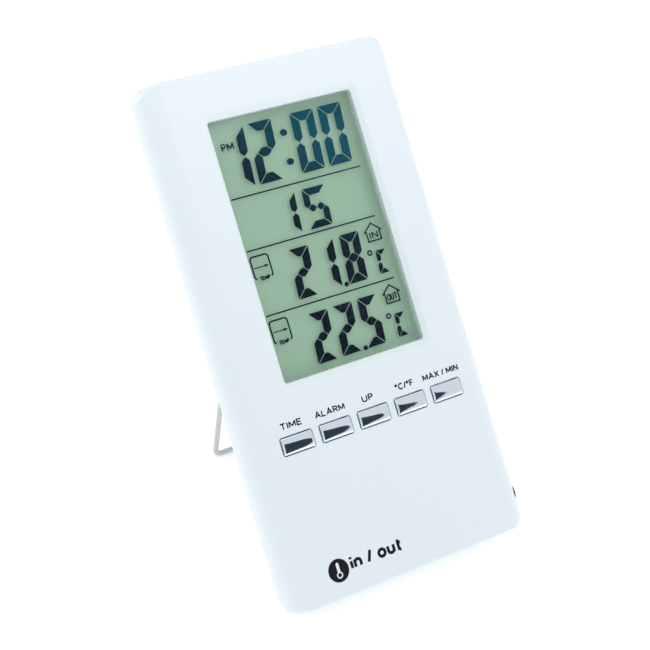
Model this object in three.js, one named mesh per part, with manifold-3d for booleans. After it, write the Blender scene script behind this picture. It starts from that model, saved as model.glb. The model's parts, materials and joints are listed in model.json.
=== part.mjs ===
// Maximum minimum thermometer: a desk unit in a slim case that leans back on a wire stand.
// Millimetres. The unit is built upright in its own frame, x to the viewer's right, y from the
// front face towards the back, z up the case from its bottom edge. The whole unit is then leaned
// back and set on the table, so that +Z is up and the front looks along -Y.
import * as THREE from "three";
import { mergeVertices } from "three/addons/utils/BufferGeometryUtils.js";
import Module from "manifold-3d";

const wasm = await Module();
wasm.setup();

// Case
const CASE_WIDTH = 59.6;
const CASE_HEIGHT = 110;
const CASE_DEPTH = 14;
const FRONT_DEPTH = 5.6; // front shell, from the face to the parting line
const SIDE_ROUND = 4.5; // large rounding down both long edges of the face
const PLAN_CORNER = 2.8;
const WALL = 1.6;
const GAP = 0.3; // between neighbouring pieces
const FILM = 0.15; // between thin stacked pieces
const ROOT = 0.4; // how far posts and walls run into the wall they stand on

// Back cover, narrower than the front shell all round
const COVER_HALF = 28.6; // half width at the parting line
const BACK_HALF = 25; // half width of the flat back
const COVER_END = 0.7; // how far its ends stand in from the front shell's ends
const COVER_CORNER = 2.2;
const COVER_WALL = 1.4;
const LIP_DROP = 1.6; // how far the cover's lip drops into the front shell
const LIP_THICK = 1;
const HEEL_LAND = 2.4; // flat along the bottom rear edge that rests on the table

// How it stands
const LEAN = THREE.MathUtils.degToRad(37.3);
const STAND_OPEN = THREE.MathUtils.degToRad(44.5);
const STAND_HALF = 14.4; // from the middle to a leg's centre line
const STAND_WIRE = 0.6; // wire radius
const HINGE_Y = CASE_DEPTH - 1.1;
const HINGE_Z = 70.9;
const PIVOT_REACH = 2.8; // how far each turned-out end enters its hole
const PIVOT_CLEAR = 0.25;
const CHANNEL_HALF = STAND_WIRE + 0.6; // half width of the channels the folded stand lies in
const CHANNEL_FLOOR = CASE_DEPTH - 2;
const CHANNEL_SKIN = 1.2; // thickness of the walls behind the channels
const FOOT_CHANNEL_HALF = 1;
const LUG_HALF = 2.6; // half height of the lugs that hold the stand's ends
const LUG_LENGTH = 3;
const NOTCH_HALF = 5; // fingernail notch above the foot of the folded stand
const NOTCH_RISE = 3.5;

// Display
const WINDOW_WIDTH = 34.4;
const WINDOW_HEIGHT = 54.9;
const WINDOW_Z = 72.5; // centre height
const WINDOW_CORNER = 0.6;
const WINDOW_BEVEL = 1.3; // width of the sloping margin round the window
const WINDOW_SINK = 0.7; // its depth
const COLLAR_WALL = 1.2;
const COLLAR_BACK = 2.6;
const LENS_FRONT = 1.3;
const LENS_CLEAR = 0.175; // between the lens and the opening, all round
const CELL_WIDTH = 38;
const CELL_HEIGHT = 60;
const CELL_FRONT = 3.4;
const CELL_THICK = 1.8;
const REFLECTOR_THICK = 0.3;
const REFLECTOR_MARGIN = [1.5, 3]; // from the cell's sides and from its ends
const HOLDER_RIM = [1, 1.2]; // how far the holder reaches past the cell, sideways and upwards
const HOLDER_OPENING = [4, 8]; // how far its opening stands in from the cell's edges
const HOLDER_BACK = 6.8;
const STRIP_HALF = 17;
const STRIP_HEIGHT = 2;
const CONTACT = 0.1; // between pieces that press together in use

// Buttons
const BUTTON_NAMES = ["time", "alarm", "up", "unit", "max_min"];
const BUTTON_PITCH = 9.3;
const BUTTON_Z = 33.1;
const BUTTON_HOLE = [7.7, 3.9];
const BUTTON_CAP = [7.1, 3.3];
const BUTTON_FLANGE = [8.7, 5.2];
const BUTTON_PROUD = 0.5;
const BUTTON_TRAVEL = 0.8;
const BUTTON_EDGE = 0.4; // rounding of the cap
const FLANGE_BACK = 2.7;
const STEM = [3.6, 2];
const STEM_BACK = 4.6;
const KEY = [5, 3.4];
const MAT_MARGIN = 3.5; // key mat past the middle of the end buttons
const MAT_HALF_HEIGHT = 3.2;
const MAT_THICK = 0.7;

// Circuit board
const BOARD_FRONT = 7;
const BOARD_THICK = 1.2;
const BOARD_HALF = 25;
const BOARD_BOTTOM = 24.5;
const BOARD_SHOULDER = 101.5;
const BOARD_TOP = 105.4;
const BOARD_NECK = 18.2; // half width above the shoulder, between the upper case screws

// Screws, each as [x, z]
const CASE_SCREWS = [[-22.5, 20.2], [22.5, 20.2], [-22, 106.2], [22, 106.2]];
const BOARD_SCREWS = [[-23.2, 28], [23.2, 28], [-23.2, 96], [23.2, 96]];
const CASE_SCREW = { shank: 1.1, head: 2.1, headThick: 1.5, tip: 3.2, seat: 10.8 };
const BOARD_SCREW = { shank: 0.8, head: 1.7, headThick: 1, tip: 3.4, seat: 8.35 };
const SCREW_CLEAR = 0.3;
const POST_RADIUS = 2.1; // posts in the front shell that the case screws bite into
const BOARD_POST_RADIUS = 1.8;
const BOSS_RADIUS = 3; // bosses in the cover that the case screws pass through

// Battery, lying across the bottom of the case
const BATTERY_RADIUS = 5.15;
const BATTERY_LENGTH = 44.5;
const BATTERY_LEFT = -25;
const BATTERY_Y = 7.2;
const BATTERY_Z = 8.3;
const NUB_RADIUS = 1.9;
const NUB_LENGTH = 0.9;
const DOOR_X = [-24.6, 22.6];
const DOOR_Z = [3.3, 13.3];
const DOOR_THICK = 1.3;
const THUMB_HALF = 5; // recess in the door for a thumb
const THUMB_HEIGHT = 3;
const THUMB_SINK = 0.5;
const HOOK_X = [-14, 14]; // hooks on the door's bottom edge, on which it tilts out
const HOOK_HALF = 2.5;
const HOOK_THICK = 0.9;
const HOOK_RISE = 1.1; // from the door's bottom edge up
const HOOK_REACH = 0.9; // from the door's bottom edge down, behind the cover
const PARTITION_X = 22.9; // wall at the spring's end
const BAY_WALL = 1; // thickness of the walls round the battery
const PLATE_X = -25.65; // back of the positive plate
const PLATE_THICK = 0.3;
const SPRING_WIRE = 0.3;
const SPRING_TURNS = 3;
const SPRING_RADII = [2.2, 3.9]; // at the battery and at the partition

// Socket for the outdoor probe, in the right flank
const SOCKET_Y = 4.9;
const SOCKET_Z = 7.1;
const SOCKET_RADIUS = 2.7;
const SOCKET_BORE = 1.3;
const SOCKET_X = [24.3, 29.3];
const SOCKET_FLOOR = 1.2; // closed end of the bore

// Keyhole hanger on the back
const KEYHOLE_Z = 97;
const KEYHOLE_RADIUS = 3.6;
const KEYHOLE_SLOT = 1.9;
const KEYHOLE_RISE = 6;
const PAD_SIZE = [14, 20];
const PAD_CORNER = 4;
const PAD_RISE = 2; // its middle above the keyhole's entry
const PAD_PROUD = 0.4;

// Piezo sounder, glued inside the back
const SOUNDER_RADIUS = 9;
const SOUNDER_Z = 32;
const BRASS_THICK = 0.25;
const RING_FRONT = 11.4;
const RING_WALL = 1.3;
const SOUND_SLOT = { half: 4.5, rise: 0.5, pitch: 2.2, rows: [-2, -1, 0, 1, 2] };
const AIR_SLOT = { x: [-22, -18.2], rise: 0.6, pitch: 3, bottom: 36, rows: [0, 1, 2, 3] };

const COVER_INSIDE = CASE_DEPTH - COVER_WALL;
const BOARD_BACK = BOARD_FRONT + BOARD_THICK;
const HALF_WIDTH = CASE_WIDTH / 2;
const OVERCUT = 1; // how far a cutting solid runs past what it cuts
const LEAST_CORNER = 0.5;

const material = (color, roughness, metalness = 0, extra = {}) =>
  new THREE.MeshStandardMaterial({ color, roughness, metalness, ...extra });
const MATERIALS = {
  case: material(0xe4eef4, 0.35),
  lens: material(0xf4f8f8, 0.08, 0, { transparent: true, opacity: 0.3 }),
  lcd: material(0xa9b79d, 0.45),
  film: material(0xc2cbb6, 0.5),
  holder: material(0xf1f1ec, 0.5),
  elastomer: material(0xb9b2b0, 0.8),
  board: material(0x2f6b43, 0.5),
  epoxy: material(0x111111, 0.4),
  capacitor: material(0xb98a4a, 0.5),
  chrome: material(0xd8dde2, 0.12, 1),
  steel: material(0xc7ccd0, 0.3, 1),
  silicone: material(0xc9ccca, 0.85),
  brass: material(0xc9a860, 0.35, 1),
  batterySleeve: material(0x8d9499, 0.4),
  socket: material(0x141414, 0.45),
  redWire: material(0xb3211e, 0.5),
  blackWire: material(0x151515, 0.5),
};

// ---- solids -------------------------------------------------------------------------------

function solid(geometry) {
  geometry.deleteAttribute("normal");
  geometry.deleteAttribute("uv");
  const merged = mergeVertices(geometry, 1e-4);
  return new wasm.Manifold(
    new wasm.Mesh({
      numProp: 3,
      vertProperties: new Float32Array(merged.attributes.position.array),
      triVerts: new Uint32Array(merged.index.array),
    }),
  );
}

function geometryOf(body) {
  const mesh = body.getMesh();
  const geometry = new THREE.BufferGeometry();
  geometry.setAttribute("position", new THREE.BufferAttribute(mesh.vertProperties, 3));
  geometry.setIndex(new THREE.BufferAttribute(mesh.triVerts, 1));
  return geometry;
}

const joined = (bodies) => bodies.reduce((all, next) => all.add(next));
const ordered = (a, b) => [Math.min(a, b), Math.max(a, b)];

function block([x0, x1], [y0, y1], [z0, z1]) {
  const geometry = new THREE.BoxGeometry(x1 - x0, y1 - y0, z1 - z0);
  return solid(geometry.translate((x0 + x1) / 2, (y0 + y1) / 2, (z0 + z1) / 2));
}

// Round bar along y, through [x, z].
function barY(radius, [y0, y1], [x, z], sides = 20) {
  const geometry = new THREE.CylinderGeometry(radius, radius, y1 - y0, sides);
  return solid(geometry.translate(x, (y0 + y1) / 2, z));
}

// Round bar along x, through [y, z].
function barX(radius, [x0, x1], [y, z], sides = 24) {
  const geometry = new THREE.CylinderGeometry(radius, radius, x1 - x0, sides).rotateZ(Math.PI / 2);
  return solid(geometry.translate((x0 + x1) / 2, y, z));
}

// Rounded rectangle in the x-z plane.
function roundedOutline(width, height, corner, [x, z] = [0, 0]) {
  const right = width / 2 - corner;
  const top = height / 2 - corner;
  const outline = new THREE.Shape();
  outline.absarc(x + right, z + top, corner, 0, Math.PI / 2);
  outline.absarc(x - right, z + top, corner, Math.PI / 2, Math.PI);
  outline.absarc(x - right, z - top, corner, Math.PI, 1.5 * Math.PI);
  outline.absarc(x + right, z - top, corner, 1.5 * Math.PI, 2 * Math.PI);
  return outline;
}

// Plate with an x-z outline, from one depth to another.
function plate(outline, [front, back], curveSegments = 6) {
  const geometry = new THREE.ExtrudeGeometry(outline, {
    depth: back - front,
    bevelEnabled: false,
    curveSegments,
  });
  return solid(geometry.rotateX(Math.PI / 2).translate(0, back, 0));
}

// Bar with an x-y section, from one height to another.
function column(section, [bottom, top], curveSegments = 8) {
  const geometry = new THREE.ExtrudeGeometry(section, {
    depth: top - bottom,
    bevelEnabled: false,
    curveSegments,
  });
  return solid(geometry.translate(0, 0, bottom));
}

class HelixCurve extends THREE.Curve {
  constructor(startRadius, endRadius, length, turns) {
    super();
    Object.assign(this, { startRadius, endRadius, length, turns });
  }
  getPoint(t, target = new THREE.Vector3()) {
    const angle = t * this.turns * 2 * Math.PI;
    const radius = THREE.MathUtils.lerp(this.startRadius, this.endRadius, t);
    return target.set(t * this.length, radius * Math.cos(angle), radius * Math.sin(angle));
  }
}

// Round wire along a curve.
function wire(curve, radius, steps, sides = 6) {
  const section = new THREE.Shape();
  section.absarc(0, 0, radius, 0, 2 * Math.PI);
  return new THREE.ExtrudeGeometry(section, {
    steps,
    curveSegments: sides,
    extrudePath: curve,
  });
}

// ---- front shell --------------------------------------------------------------------------

// Section of the front shell: flat face, large roundings, straight flanks.
function frontSection(inset, back) {
  const half = HALF_WIDTH - inset;
  const round = SIDE_ROUND - inset;
  const section = new THREE.Shape();
  section.moveTo(half, back);
  section.lineTo(-half, back);
  section.absarc(round - half, SIDE_ROUND, round, Math.PI, 1.5 * Math.PI);
  section.absarc(half - round, SIDE_ROUND, round, 1.5 * Math.PI, 2 * Math.PI);
  return section;
}

function planOutline(inset) {
  return roundedOutline(
    CASE_WIDTH - 2 * inset,
    CASE_HEIGHT - 2 * inset,
    Math.max(PLAN_CORNER - inset, LEAST_CORNER),
    [0, CASE_HEIGHT / 2],
  );
}

const windowOutline = (grow, corner) =>
  roundedOutline(WINDOW_WIDTH + 2 * grow, WINDOW_HEIGHT + 2 * grow, corner, [0, WINDOW_Z]);

// The window opening with its sloping margin, widest at the face.
function windowCut() {
  const margin = new THREE.ExtrudeGeometry(windowOutline(0, WINDOW_CORNER), {
    depth: OVERCUT,
    bevelThickness: WINDOW_SINK,
    bevelSize: WINDOW_BEVEL,
    bevelSegments: 1,
    curveSegments: 3,
  });
  const opening = plate(windowOutline(0, WINDOW_CORNER), [-OVERCUT, COLLAR_BACK + OVERCUT], 3);
  return solid(margin.rotateX(Math.PI / 2)).add(opening);
}

const buttonX = (index) => (index - (BUTTON_NAMES.length - 1) / 2) * BUTTON_PITCH;

function buttonHoles() {
  const holes = BUTTON_NAMES.map((name, index) =>
    plate(
      roundedOutline(...BUTTON_HOLE, LEAST_CORNER, [buttonX(index), BUTTON_Z]),
      [-OVERCUT, WALL + OVERCUT],
      3,
    ),
  );
  return joined(holes);
}

// Posts moulded inside the front shell, and the pilot holes in them.
function frontPosts() {
  const casePosts = CASE_SCREWS.map((at) => barY(POST_RADIUS, [WALL - ROOT, FRONT_DEPTH], at));
  const boardPosts = BOARD_SCREWS.map((at) =>
    barY(BOARD_POST_RADIUS, [WALL - ROOT, BOARD_FRONT - FILM], at));
  return joined([...casePosts, ...boardPosts]);
}

function pilotHoles() {
  const hole = ({ shank, tip }, at) => barY(shank + SCREW_CLEAR, [tip - GAP, BOARD_FRONT], at);
  return joined([
    ...CASE_SCREWS.map((at) => hole(CASE_SCREW, at)),
    ...BOARD_SCREWS.map((at) => hole(BOARD_SCREW, at)),
  ]);
}

const socketHole = () =>
  barX(SOCKET_RADIUS + GAP, [SOCKET_X[0] - GAP, HALF_WIDTH + OVERCUT], [SOCKET_Y, SOCKET_Z]);

function frontShell() {
  const outside = column(frontSection(0, FRONT_DEPTH), [0, CASE_HEIGHT])
    .intersect(plate(planOutline(0), [-OVERCUT, FRONT_DEPTH + OVERCUT]));
  const inside = column(frontSection(WALL, FRONT_DEPTH + OVERCUT), [WALL, CASE_HEIGHT - WALL])
    .intersect(plate(planOutline(WALL), [0, FRONT_DEPTH + OVERCUT], 3));
  const collar = plate(windowOutline(COLLAR_WALL, 1), [WALL - ROOT, COLLAR_BACK], 3);
  return joined([outside.subtract(inside), collar, frontPosts()])
    .subtract(windowCut())
    .subtract(buttonHoles())
    .subtract(pilotHoles())
    .subtract(socketHole());
}

// ---- display ------------------------------------------------------------------------------

// Clear window: a block that fills the opening, on a flange behind the collar.
function windowLens() {
  return joined([
    plate(windowOutline(-LENS_CLEAR, LEAST_CORNER), [LENS_FRONT, COLLAR_BACK + 2 * FILM], 3),
    plate(windowOutline(COLLAR_WALL, 0.8), [COLLAR_BACK + FILM, CELL_FRONT - FILM], 3),
  ]);
}

const centred = (width, height) => [
  [-width / 2, width / 2],
  [WINDOW_Z - height / 2, WINDOW_Z + height / 2],
];

function slab(width, height, depths) {
  const [x, z] = centred(width, height);
  return block(x, depths, z);
}

const CELL_BACK = CELL_FRONT + CELL_THICK;
const STRIP_OFFSET = (CELL_HEIGHT - STRIP_HEIGHT) / 2 - GAP;

const displayCell = () => slab(CELL_WIDTH, CELL_HEIGHT, [CELL_FRONT, CELL_BACK]);

// Film behind the cell, between the two connector strips.
function displayReflector() {
  const [marginX, marginZ] = REFLECTOR_MARGIN;
  const front = CELL_BACK + CONTACT;
  const depths = [front, front + REFLECTOR_THICK];
  return slab(CELL_WIDTH - 2 * marginX, CELL_HEIGHT - 2 * marginZ, depths);
}

function stripAt(side, grow = 0) {
  const z = WINDOW_Z + side * STRIP_OFFSET;
  const half = STRIP_HEIGHT / 2 + grow;
  return block(
    [-STRIP_HALF - grow, STRIP_HALF + grow],
    [CELL_BACK + CONTACT - grow, BOARD_FRONT - CONTACT + grow],
    [z - half, z + half],
  );
}

// Frame that holds the cell square to the window and the connector strips against the board.
function displayHolder() {
  const [rimX, rimZ] = HOLDER_RIM;
  const [openX, openZ] = HOLDER_OPENING;
  const pocketBack = CELL_BACK + CONTACT + REFLECTOR_THICK + FILM;
  const pocket = [CELL_FRONT - OVERCUT, pocketBack];
  return slab(CELL_WIDTH + 2 * rimX, CELL_HEIGHT + 2 * rimZ, [CELL_FRONT, HOLDER_BACK])
    .subtract(slab(CELL_WIDTH + 2 * FILM, CELL_HEIGHT + 2 * FILM, pocket))
    .subtract(slab(CELL_WIDTH - 2 * openX, CELL_HEIGHT - 2 * openZ, [CELL_FRONT, BOARD_FRONT]))
    .subtract(stripAt(1, 2 * CONTACT))
    .subtract(stripAt(-1, 2 * CONTACT));
}

// ---- circuit board and what sits on it ------------------------------------------------------

function circuitBoard() {
  const depths = [BOARD_FRONT, BOARD_BACK];
  const body = block([-BOARD_HALF, BOARD_HALF], depths, [BOARD_BOTTOM, BOARD_SHOULDER]);
  const neck = block([-BOARD_NECK, BOARD_NECK], depths, [BOARD_SHOULDER - OVERCUT, BOARD_TOP]);
  const holes = BOARD_SCREWS.map((at) =>
    barY(BOARD_SCREW.shank + SCREW_CLEAR, [BOARD_FRONT - OVERCUT, BOARD_BACK + OVERCUT], at));
  return body.add(neck).subtract(joined(holes));
}

// Drop of epoxy over the controller chip.
function controllerBlob() {
  const radius = 6.5;
  const height = 1.4;
  const steps = 5;
  const profile = [new THREE.Vector2(0, 0), new THREE.Vector2(radius, 0)];
  for (let step = 1; step <= steps; step += 1) {
    const angle = (step / steps) * Math.PI / 2;
    profile.push(new THREE.Vector2(radius * Math.cos(angle), height * Math.sin(angle)));
  }
  profile.at(-1).x = 0;
  return new THREE.LatheGeometry(profile, 20);
}

// Crystal in a small metal can that lies on the board, with its neck at one end.
function clockCrystal() {
  const axis = [1.05, 0];
  return barX(1, [0, 6], axis, 12).add(barX(0.7, [-0.6, 0.2], axis, 12));
}

// Thermistor bead on two short legs.
function indoorSensor() {
  const height = 2.2;
  const bead = new THREE.SphereGeometry(1.2, 12, 8).translate(0, height, 0);
  const legs = [-0.6, 0.6].map((x) => barY(0.25, [0, height], [x, 0], 8));
  return joined([solid(bead), ...legs]);
}

function filterCapacitor() {
  return barY(2, [0, 3], [0, 0], 20);
}

function sounder() {
  const ceramicShare = 0.7;
  const brassDisc = barY(SOUNDER_RADIUS, [0, BRASS_THICK], [0, 0], 28);
  const ceramicDisc = barY(SOUNDER_RADIUS * ceramicShare, [-0.2, BRASS_THICK / 2], [0, 0], 28);
  return brassDisc.add(ceramicDisc);
}

// ---- buttons ------------------------------------------------------------------------------

// Cap, retaining flange and stem of one button, about the middle of its opening.
function button() {
  const corner = BUTTON_EDGE + 0.2;
  const seat = WALL + GAP;
  const root = 0.1;
  const cap = new THREE.ExtrudeGeometry(roundedOutline(...BUTTON_CAP, corner), {
    depth: BUTTON_PROUD + seat + root - 2 * BUTTON_EDGE,
    bevelThickness: BUTTON_EDGE,
    bevelSize: BUTTON_EDGE,
    bevelOffset: -BUTTON_EDGE,
    bevelSegments: 3,
    curveSegments: 3,
  });
  cap.rotateX(Math.PI / 2).translate(0, seat + root - BUTTON_EDGE, 0);
  const flange = plate(roundedOutline(...BUTTON_FLANGE, corner), [seat, FLANGE_BACK], 3);
  const [stemX, stemZ] = STEM.map((size) => [-size / 2, size / 2]);
  const stem = block(stemX, [FLANGE_BACK - root, STEM_BACK], stemZ);
  return joined([solid(cap), flange, stem]);
}

// Silicone mat: one sheet on the board with a raised key under every stem.
function keyMat() {
  const half = ((BUTTON_NAMES.length - 1) / 2) * BUTTON_PITCH + MAT_MARGIN;
  const back = BOARD_FRONT - FILM;
  const front = back - MAT_THICK;
  const heights = [BUTTON_Z - MAT_HALF_HEIGHT, BUTTON_Z + MAT_HALF_HEIGHT];
  const sheet = block([-half, half], [front, back], heights);
  const keys = BUTTON_NAMES.map((name, index) =>
    plate(
      roundedOutline(...KEY, 0.8, [buttonX(index), BUTTON_Z]),
      [STEM_BACK + BUTTON_TRAVEL + CONTACT, back - MAT_THICK / 2],
      3,
    ),
  );
  return sheet.add(joined(keys));
}

// ---- back cover -----------------------------------------------------------------------------

// Section of the back cover: flat back, sides curving in from the parting line.
function coverSection(inset, front) {
  const halfDepth = CASE_DEPTH - FRONT_DEPTH - GAP;
  const centreY = FRONT_DEPTH + GAP;
  const sideReach = COVER_HALF - BACK_HALF - inset;
  const section = new THREE.Shape();
  section.moveTo(BACK_HALF + sideReach, front);
  section.absellipse(BACK_HALF, centreY, sideReach, halfDepth - inset, 0, Math.PI / 2);
  section.absellipse(-BACK_HALF, centreY, sideReach, halfDepth - inset, Math.PI / 2, Math.PI);
  section.lineTo(-BACK_HALF - sideReach, front);
  return section;
}

// Lip that drops inside the front shell and lines the two shells up.
function coverLip() {
  const clear = WALL + GAP;
  const front = FRONT_DEPTH - LIP_DROP;
  const back = FRONT_DEPTH + GAP + ROOT;
  const postClearance = CASE_SCREWS.map((at) =>
    barY(POST_RADIUS + GAP, [front - OVERCUT, FRONT_DEPTH + GAP], at));
  return plate(planOutline(clear), [front, back], 3)
    .subtract(plate(planOutline(clear + LIP_THICK), [front - OVERCUT, back + OVERCUT], 3))
    .subtract(joined(postClearance));
}

const LEG_LENGTH = legLength();
const FOLDED_FOOT_Z = HINGE_Z - LEG_LENGTH;

// Height above the table of a point of the unit, before it is set down.
function leanedHeight(y, z) {
  return z * Math.cos(LEAN) - y * Math.sin(LEAN);
}

function heelHeight() {
  return leanedHeight(CASE_DEPTH, COVER_END + HEEL_LAND * Math.sin(LEAN));
}

// The leg is as long as it takes for the foot to touch the table the heel rests on.
function legLength() {
  const drop = leanedHeight(HINGE_Y, HINGE_Z) - heelHeight() - STAND_WIRE;
  return drop / Math.cos(STAND_OPEN - LEAN);
}

// Channels in the back for the folded stand.
function standChannels() {
  const depths = [CHANNEL_FLOOR, CASE_DEPTH + OVERCUT];
  const foot = [FOLDED_FOOT_Z - FOOT_CHANNEL_HALF, FOLDED_FOOT_Z + FOOT_CHANNEL_HALF];
  const legs = [-1, 1].map((side) => {
    const x = side * STAND_HALF;
    return block([x - CHANNEL_HALF, x + CHANNEL_HALF], depths, [foot[0], HINGE_Z + CHANNEL_HALF]);
  });
  const reach = STAND_HALF + CHANNEL_HALF;
  const fingerNotch = block([-NOTCH_HALF, NOTCH_HALF], depths, [foot[1] - 0.5, foot[1] + NOTCH_RISE]);
  return joined([...legs, block([-reach, reach], depths, foot), fingerNotch]);
}

// Walls behind those channels, thick enough at the top to hold the stand's two ends.
function channelWalls() {
  const depths = [CHANNEL_FLOOR - CHANNEL_SKIN, COVER_INSIDE + ROOT];
  const half = CHANNEL_HALF + CHANNEL_SKIN;
  const footHalf = FOOT_CHANNEL_HALF + CHANNEL_SKIN;
  const bottom = FOLDED_FOOT_Z - FOOT_CHANNEL_HALF - ROOT;
  const walls = [-1, 1].flatMap((side) => {
    const x = side * STAND_HALF;
    const lug = ordered(x - side * half, x + side * (half + LUG_LENGTH));
    return [
      block([x - half, x + half], depths, [bottom, HINGE_Z + half]),
      block(lug, depths, [HINGE_Z - LUG_HALF, HINGE_Z + LUG_HALF]),
    ];
  });
  const reach = STAND_HALF + half;
  const notch = NOTCH_HALF + CHANNEL_SKIN;
  const notchTop = FOLDED_FOOT_Z + FOOT_CHANNEL_HALF + NOTCH_RISE + CHANNEL_SKIN;
  walls.push(block([-reach, reach], depths, [bottom, FOLDED_FOOT_Z + footHalf]));
  walls.push(block([-notch, notch], depths, [FOLDED_FOOT_Z, notchTop]));
  return joined(walls);
}

function pivotHoles() {
  const holes = [-1, 1].map((side) => {
    const ends = ordered(side * STAND_HALF, side * (STAND_HALF + CHANNEL_HALF + PIVOT_REACH));
    return barX(STAND_WIRE + PIVOT_CLEAR, ends, [HINGE_Y, HINGE_Z], 16);
  });
  return joined(holes);
}

// Walls round the battery.
function batteryWalls() {
  const depths = [2.2, COVER_INSIDE + ROOT];
  const shelf = DOOR_Z[1] + GAP + 0.2;
  const partition = [PARTITION_X, PARTITION_X + BAY_WALL];
  const plateWall = [PLATE_X - FILM - BAY_WALL, PLATE_X - FILM];
  return joined([
    block([DOOR_X[0], partition[1]], depths, [shelf, shelf + BAY_WALL]),
    block(partition, depths, [COVER_END + BAY_WALL, shelf + BAY_WALL / 2]),
    block(plateWall, [4.6, COVER_INSIDE + ROOT], DOOR_Z),
  ]);
}

const batteryOpening = () =>
  block(
    [DOOR_X[0] - GAP, DOOR_X[1] + GAP],
    [COVER_INSIDE - OVERCUT, CASE_DEPTH + OVERCUT],
    [DOOR_Z[0] - GAP, DOOR_Z[1] + GAP],
  );

function keyhole(depths) {
  const entry = barY(KEYHOLE_RADIUS, depths, [0, KEYHOLE_Z], 24);
  const slot = block([-KEYHOLE_SLOT, KEYHOLE_SLOT], depths, [KEYHOLE_Z, KEYHOLE_Z + KEYHOLE_RISE]);
  const end = barY(KEYHOLE_SLOT, depths, [0, KEYHOLE_Z + KEYHOLE_RISE], 16);
  return joined([entry, slot, end]);
}

function soundSlots(depths) {
  const { half, rise, pitch, rows } = SOUND_SLOT;
  const slots = rows.map((row) => {
    const z = SOUNDER_Z + row * pitch;
    return block([-half, half], depths, [z - rise, z + rise]);
  });
  return joined(slots);
}

// Slots that let room air reach the indoor sensor.
function airSlots(depths) {
  const { x, rise, pitch, bottom, rows } = AIR_SLOT;
  const slots = rows.map((row) => {
    const z = bottom + row * pitch;
    return block(x, depths, [z - rise, z + rise]);
  });
  return joined(slots);
}

// Everything below the plane of the table, in the upright unit.
function belowTable() {
  const thickness = 10;
  const slab = new THREE.BoxGeometry(2 * CASE_WIDTH, 4 * thickness, thickness);
  slab.translate(0, 0, -thickness / 2).rotateX(LEAN);
  return solid(slab.translate(0, CASE_DEPTH, COVER_END + HEEL_LAND * Math.sin(LEAN)));
}

function backCover() {
  const ends = [COVER_END, CASE_HEIGHT - COVER_END];
  const insideEnds = [ends[0] + COVER_WALL, ends[1] - COVER_WALL];
  const outside = column(coverSection(0, FRONT_DEPTH + GAP), ends);
  const inside = column(coverSection(COVER_WALL, FRONT_DEPTH - OVERCUT), insideEnds);
  const corners = plate(
    roundedOutline(2 * COVER_HALF, ends[1] - ends[0], COVER_CORNER, [0, CASE_HEIGHT / 2]),
    [FRONT_DEPTH - OVERCUT, CASE_DEPTH + OVERCUT],
  );
  const bosses = CASE_SCREWS.map((at) =>
    barY(BOSS_RADIUS, [FRONT_DEPTH + GAP, COVER_INSIDE + ROOT], at, 24));
  const seat = CASE_SCREW.seat - FILM;
  const screwHoles = CASE_SCREWS.flatMap((at) => [
    barY(CASE_SCREW.shank + SCREW_CLEAR, [FRONT_DEPTH, CASE_DEPTH], at),
    barY(CASE_SCREW.head + SCREW_CLEAR, [seat, CASE_DEPTH + OVERCUT], at),
  ]);
  const soundAt = [0, SOUNDER_Z];
  const ring = barY(SOUNDER_RADIUS + RING_WALL, [RING_FRONT, COVER_INSIDE + ROOT], soundAt, 28)
    .subtract(barY(SOUNDER_RADIUS + GAP, [RING_FRONT - OVERCUT, COVER_INSIDE], soundAt, 28));
  const pad = plate(
    roundedOutline(...PAD_SIZE, PAD_CORNER, [0, KEYHOLE_Z + PAD_RISE]),
    [COVER_INSIDE, CASE_DEPTH + PAD_PROUD],
  );
  const through = [COVER_INSIDE - OVERCUT, CASE_DEPTH + OVERCUT];
  return joined([
    outside.subtract(inside).intersect(corners),
    coverLip(),
    batteryWalls(),
    channelWalls(),
    ring,
    pad,
    ...bosses,
  ])
    .subtract(standChannels())
    .subtract(pivotHoles())
    .subtract(batteryOpening())
    .subtract(joined(screwHoles))
    .subtract(keyhole(through))
    .subtract(soundSlots(through))
    .subtract(airSlots(through))
    .subtract(socketHole())
    .subtract(belowTable());
}

// Hooks that catch inside the cover, below the battery opening.
function doorHooks() {
  const bottom = DOOR_Z[0];
  const back = COVER_INSIDE - GAP;
  const front = back - HOOK_THICK;
  const panel = CASE_DEPTH - DOOR_THICK;
  const tongue = [bottom - HOOK_REACH, bottom + HOOK_RISE];
  const neck = [bottom + FILM, bottom + HOOK_RISE - FILM];
  const neckHalf = HOOK_HALF - FILM;
  const hooks = HOOK_X.flatMap((x) => [
    block([x - HOOK_HALF, x + HOOK_HALF], [front, back], tongue),
    block([x - neckHalf, x + neckHalf], [front + FILM, panel + FILM], neck),
  ]);
  return joined(hooks);
}

// Battery door with two hooks and a thumb recess that has two ridges.
function batteryDoor() {
  const front = CASE_DEPTH - DOOR_THICK;
  const panel = block(DOOR_X, [front, CASE_DEPTH], DOOR_Z);
  const thumbTop = DOOR_Z[1] - 1;
  const floor = CASE_DEPTH - THUMB_SINK;
  const thumb = block(
    [-THUMB_HALF, THUMB_HALF],
    [floor, CASE_DEPTH + OVERCUT],
    [thumbTop - THUMB_HEIGHT, thumbTop],
  );
  const ridgeHalf = THUMB_HALF - 1;
  const ridges = [0.27, 0.67].map((share) => {
    const z = thumbTop - THUMB_HEIGHT * (1 - share);
    return block([-ridgeHalf, ridgeHalf], [floor - 0.3, CASE_DEPTH - 0.1], [z - 0.2, z + 0.2]);
  });
  return panel.subtract(thumb).add(joined(ridges)).add(doorHooks());
}

// ---- battery and its contacts -----------------------------------------------------------------

function battery() {
  const left = BATTERY_LEFT + NUB_LENGTH;
  const can = barX(BATTERY_RADIUS, [left, BATTERY_LEFT + BATTERY_LENGTH], [0, 0], 28);
  return can.add(barX(NUB_RADIUS, [BATTERY_LEFT, left + 0.2], [0, 0], 16));
}

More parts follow.
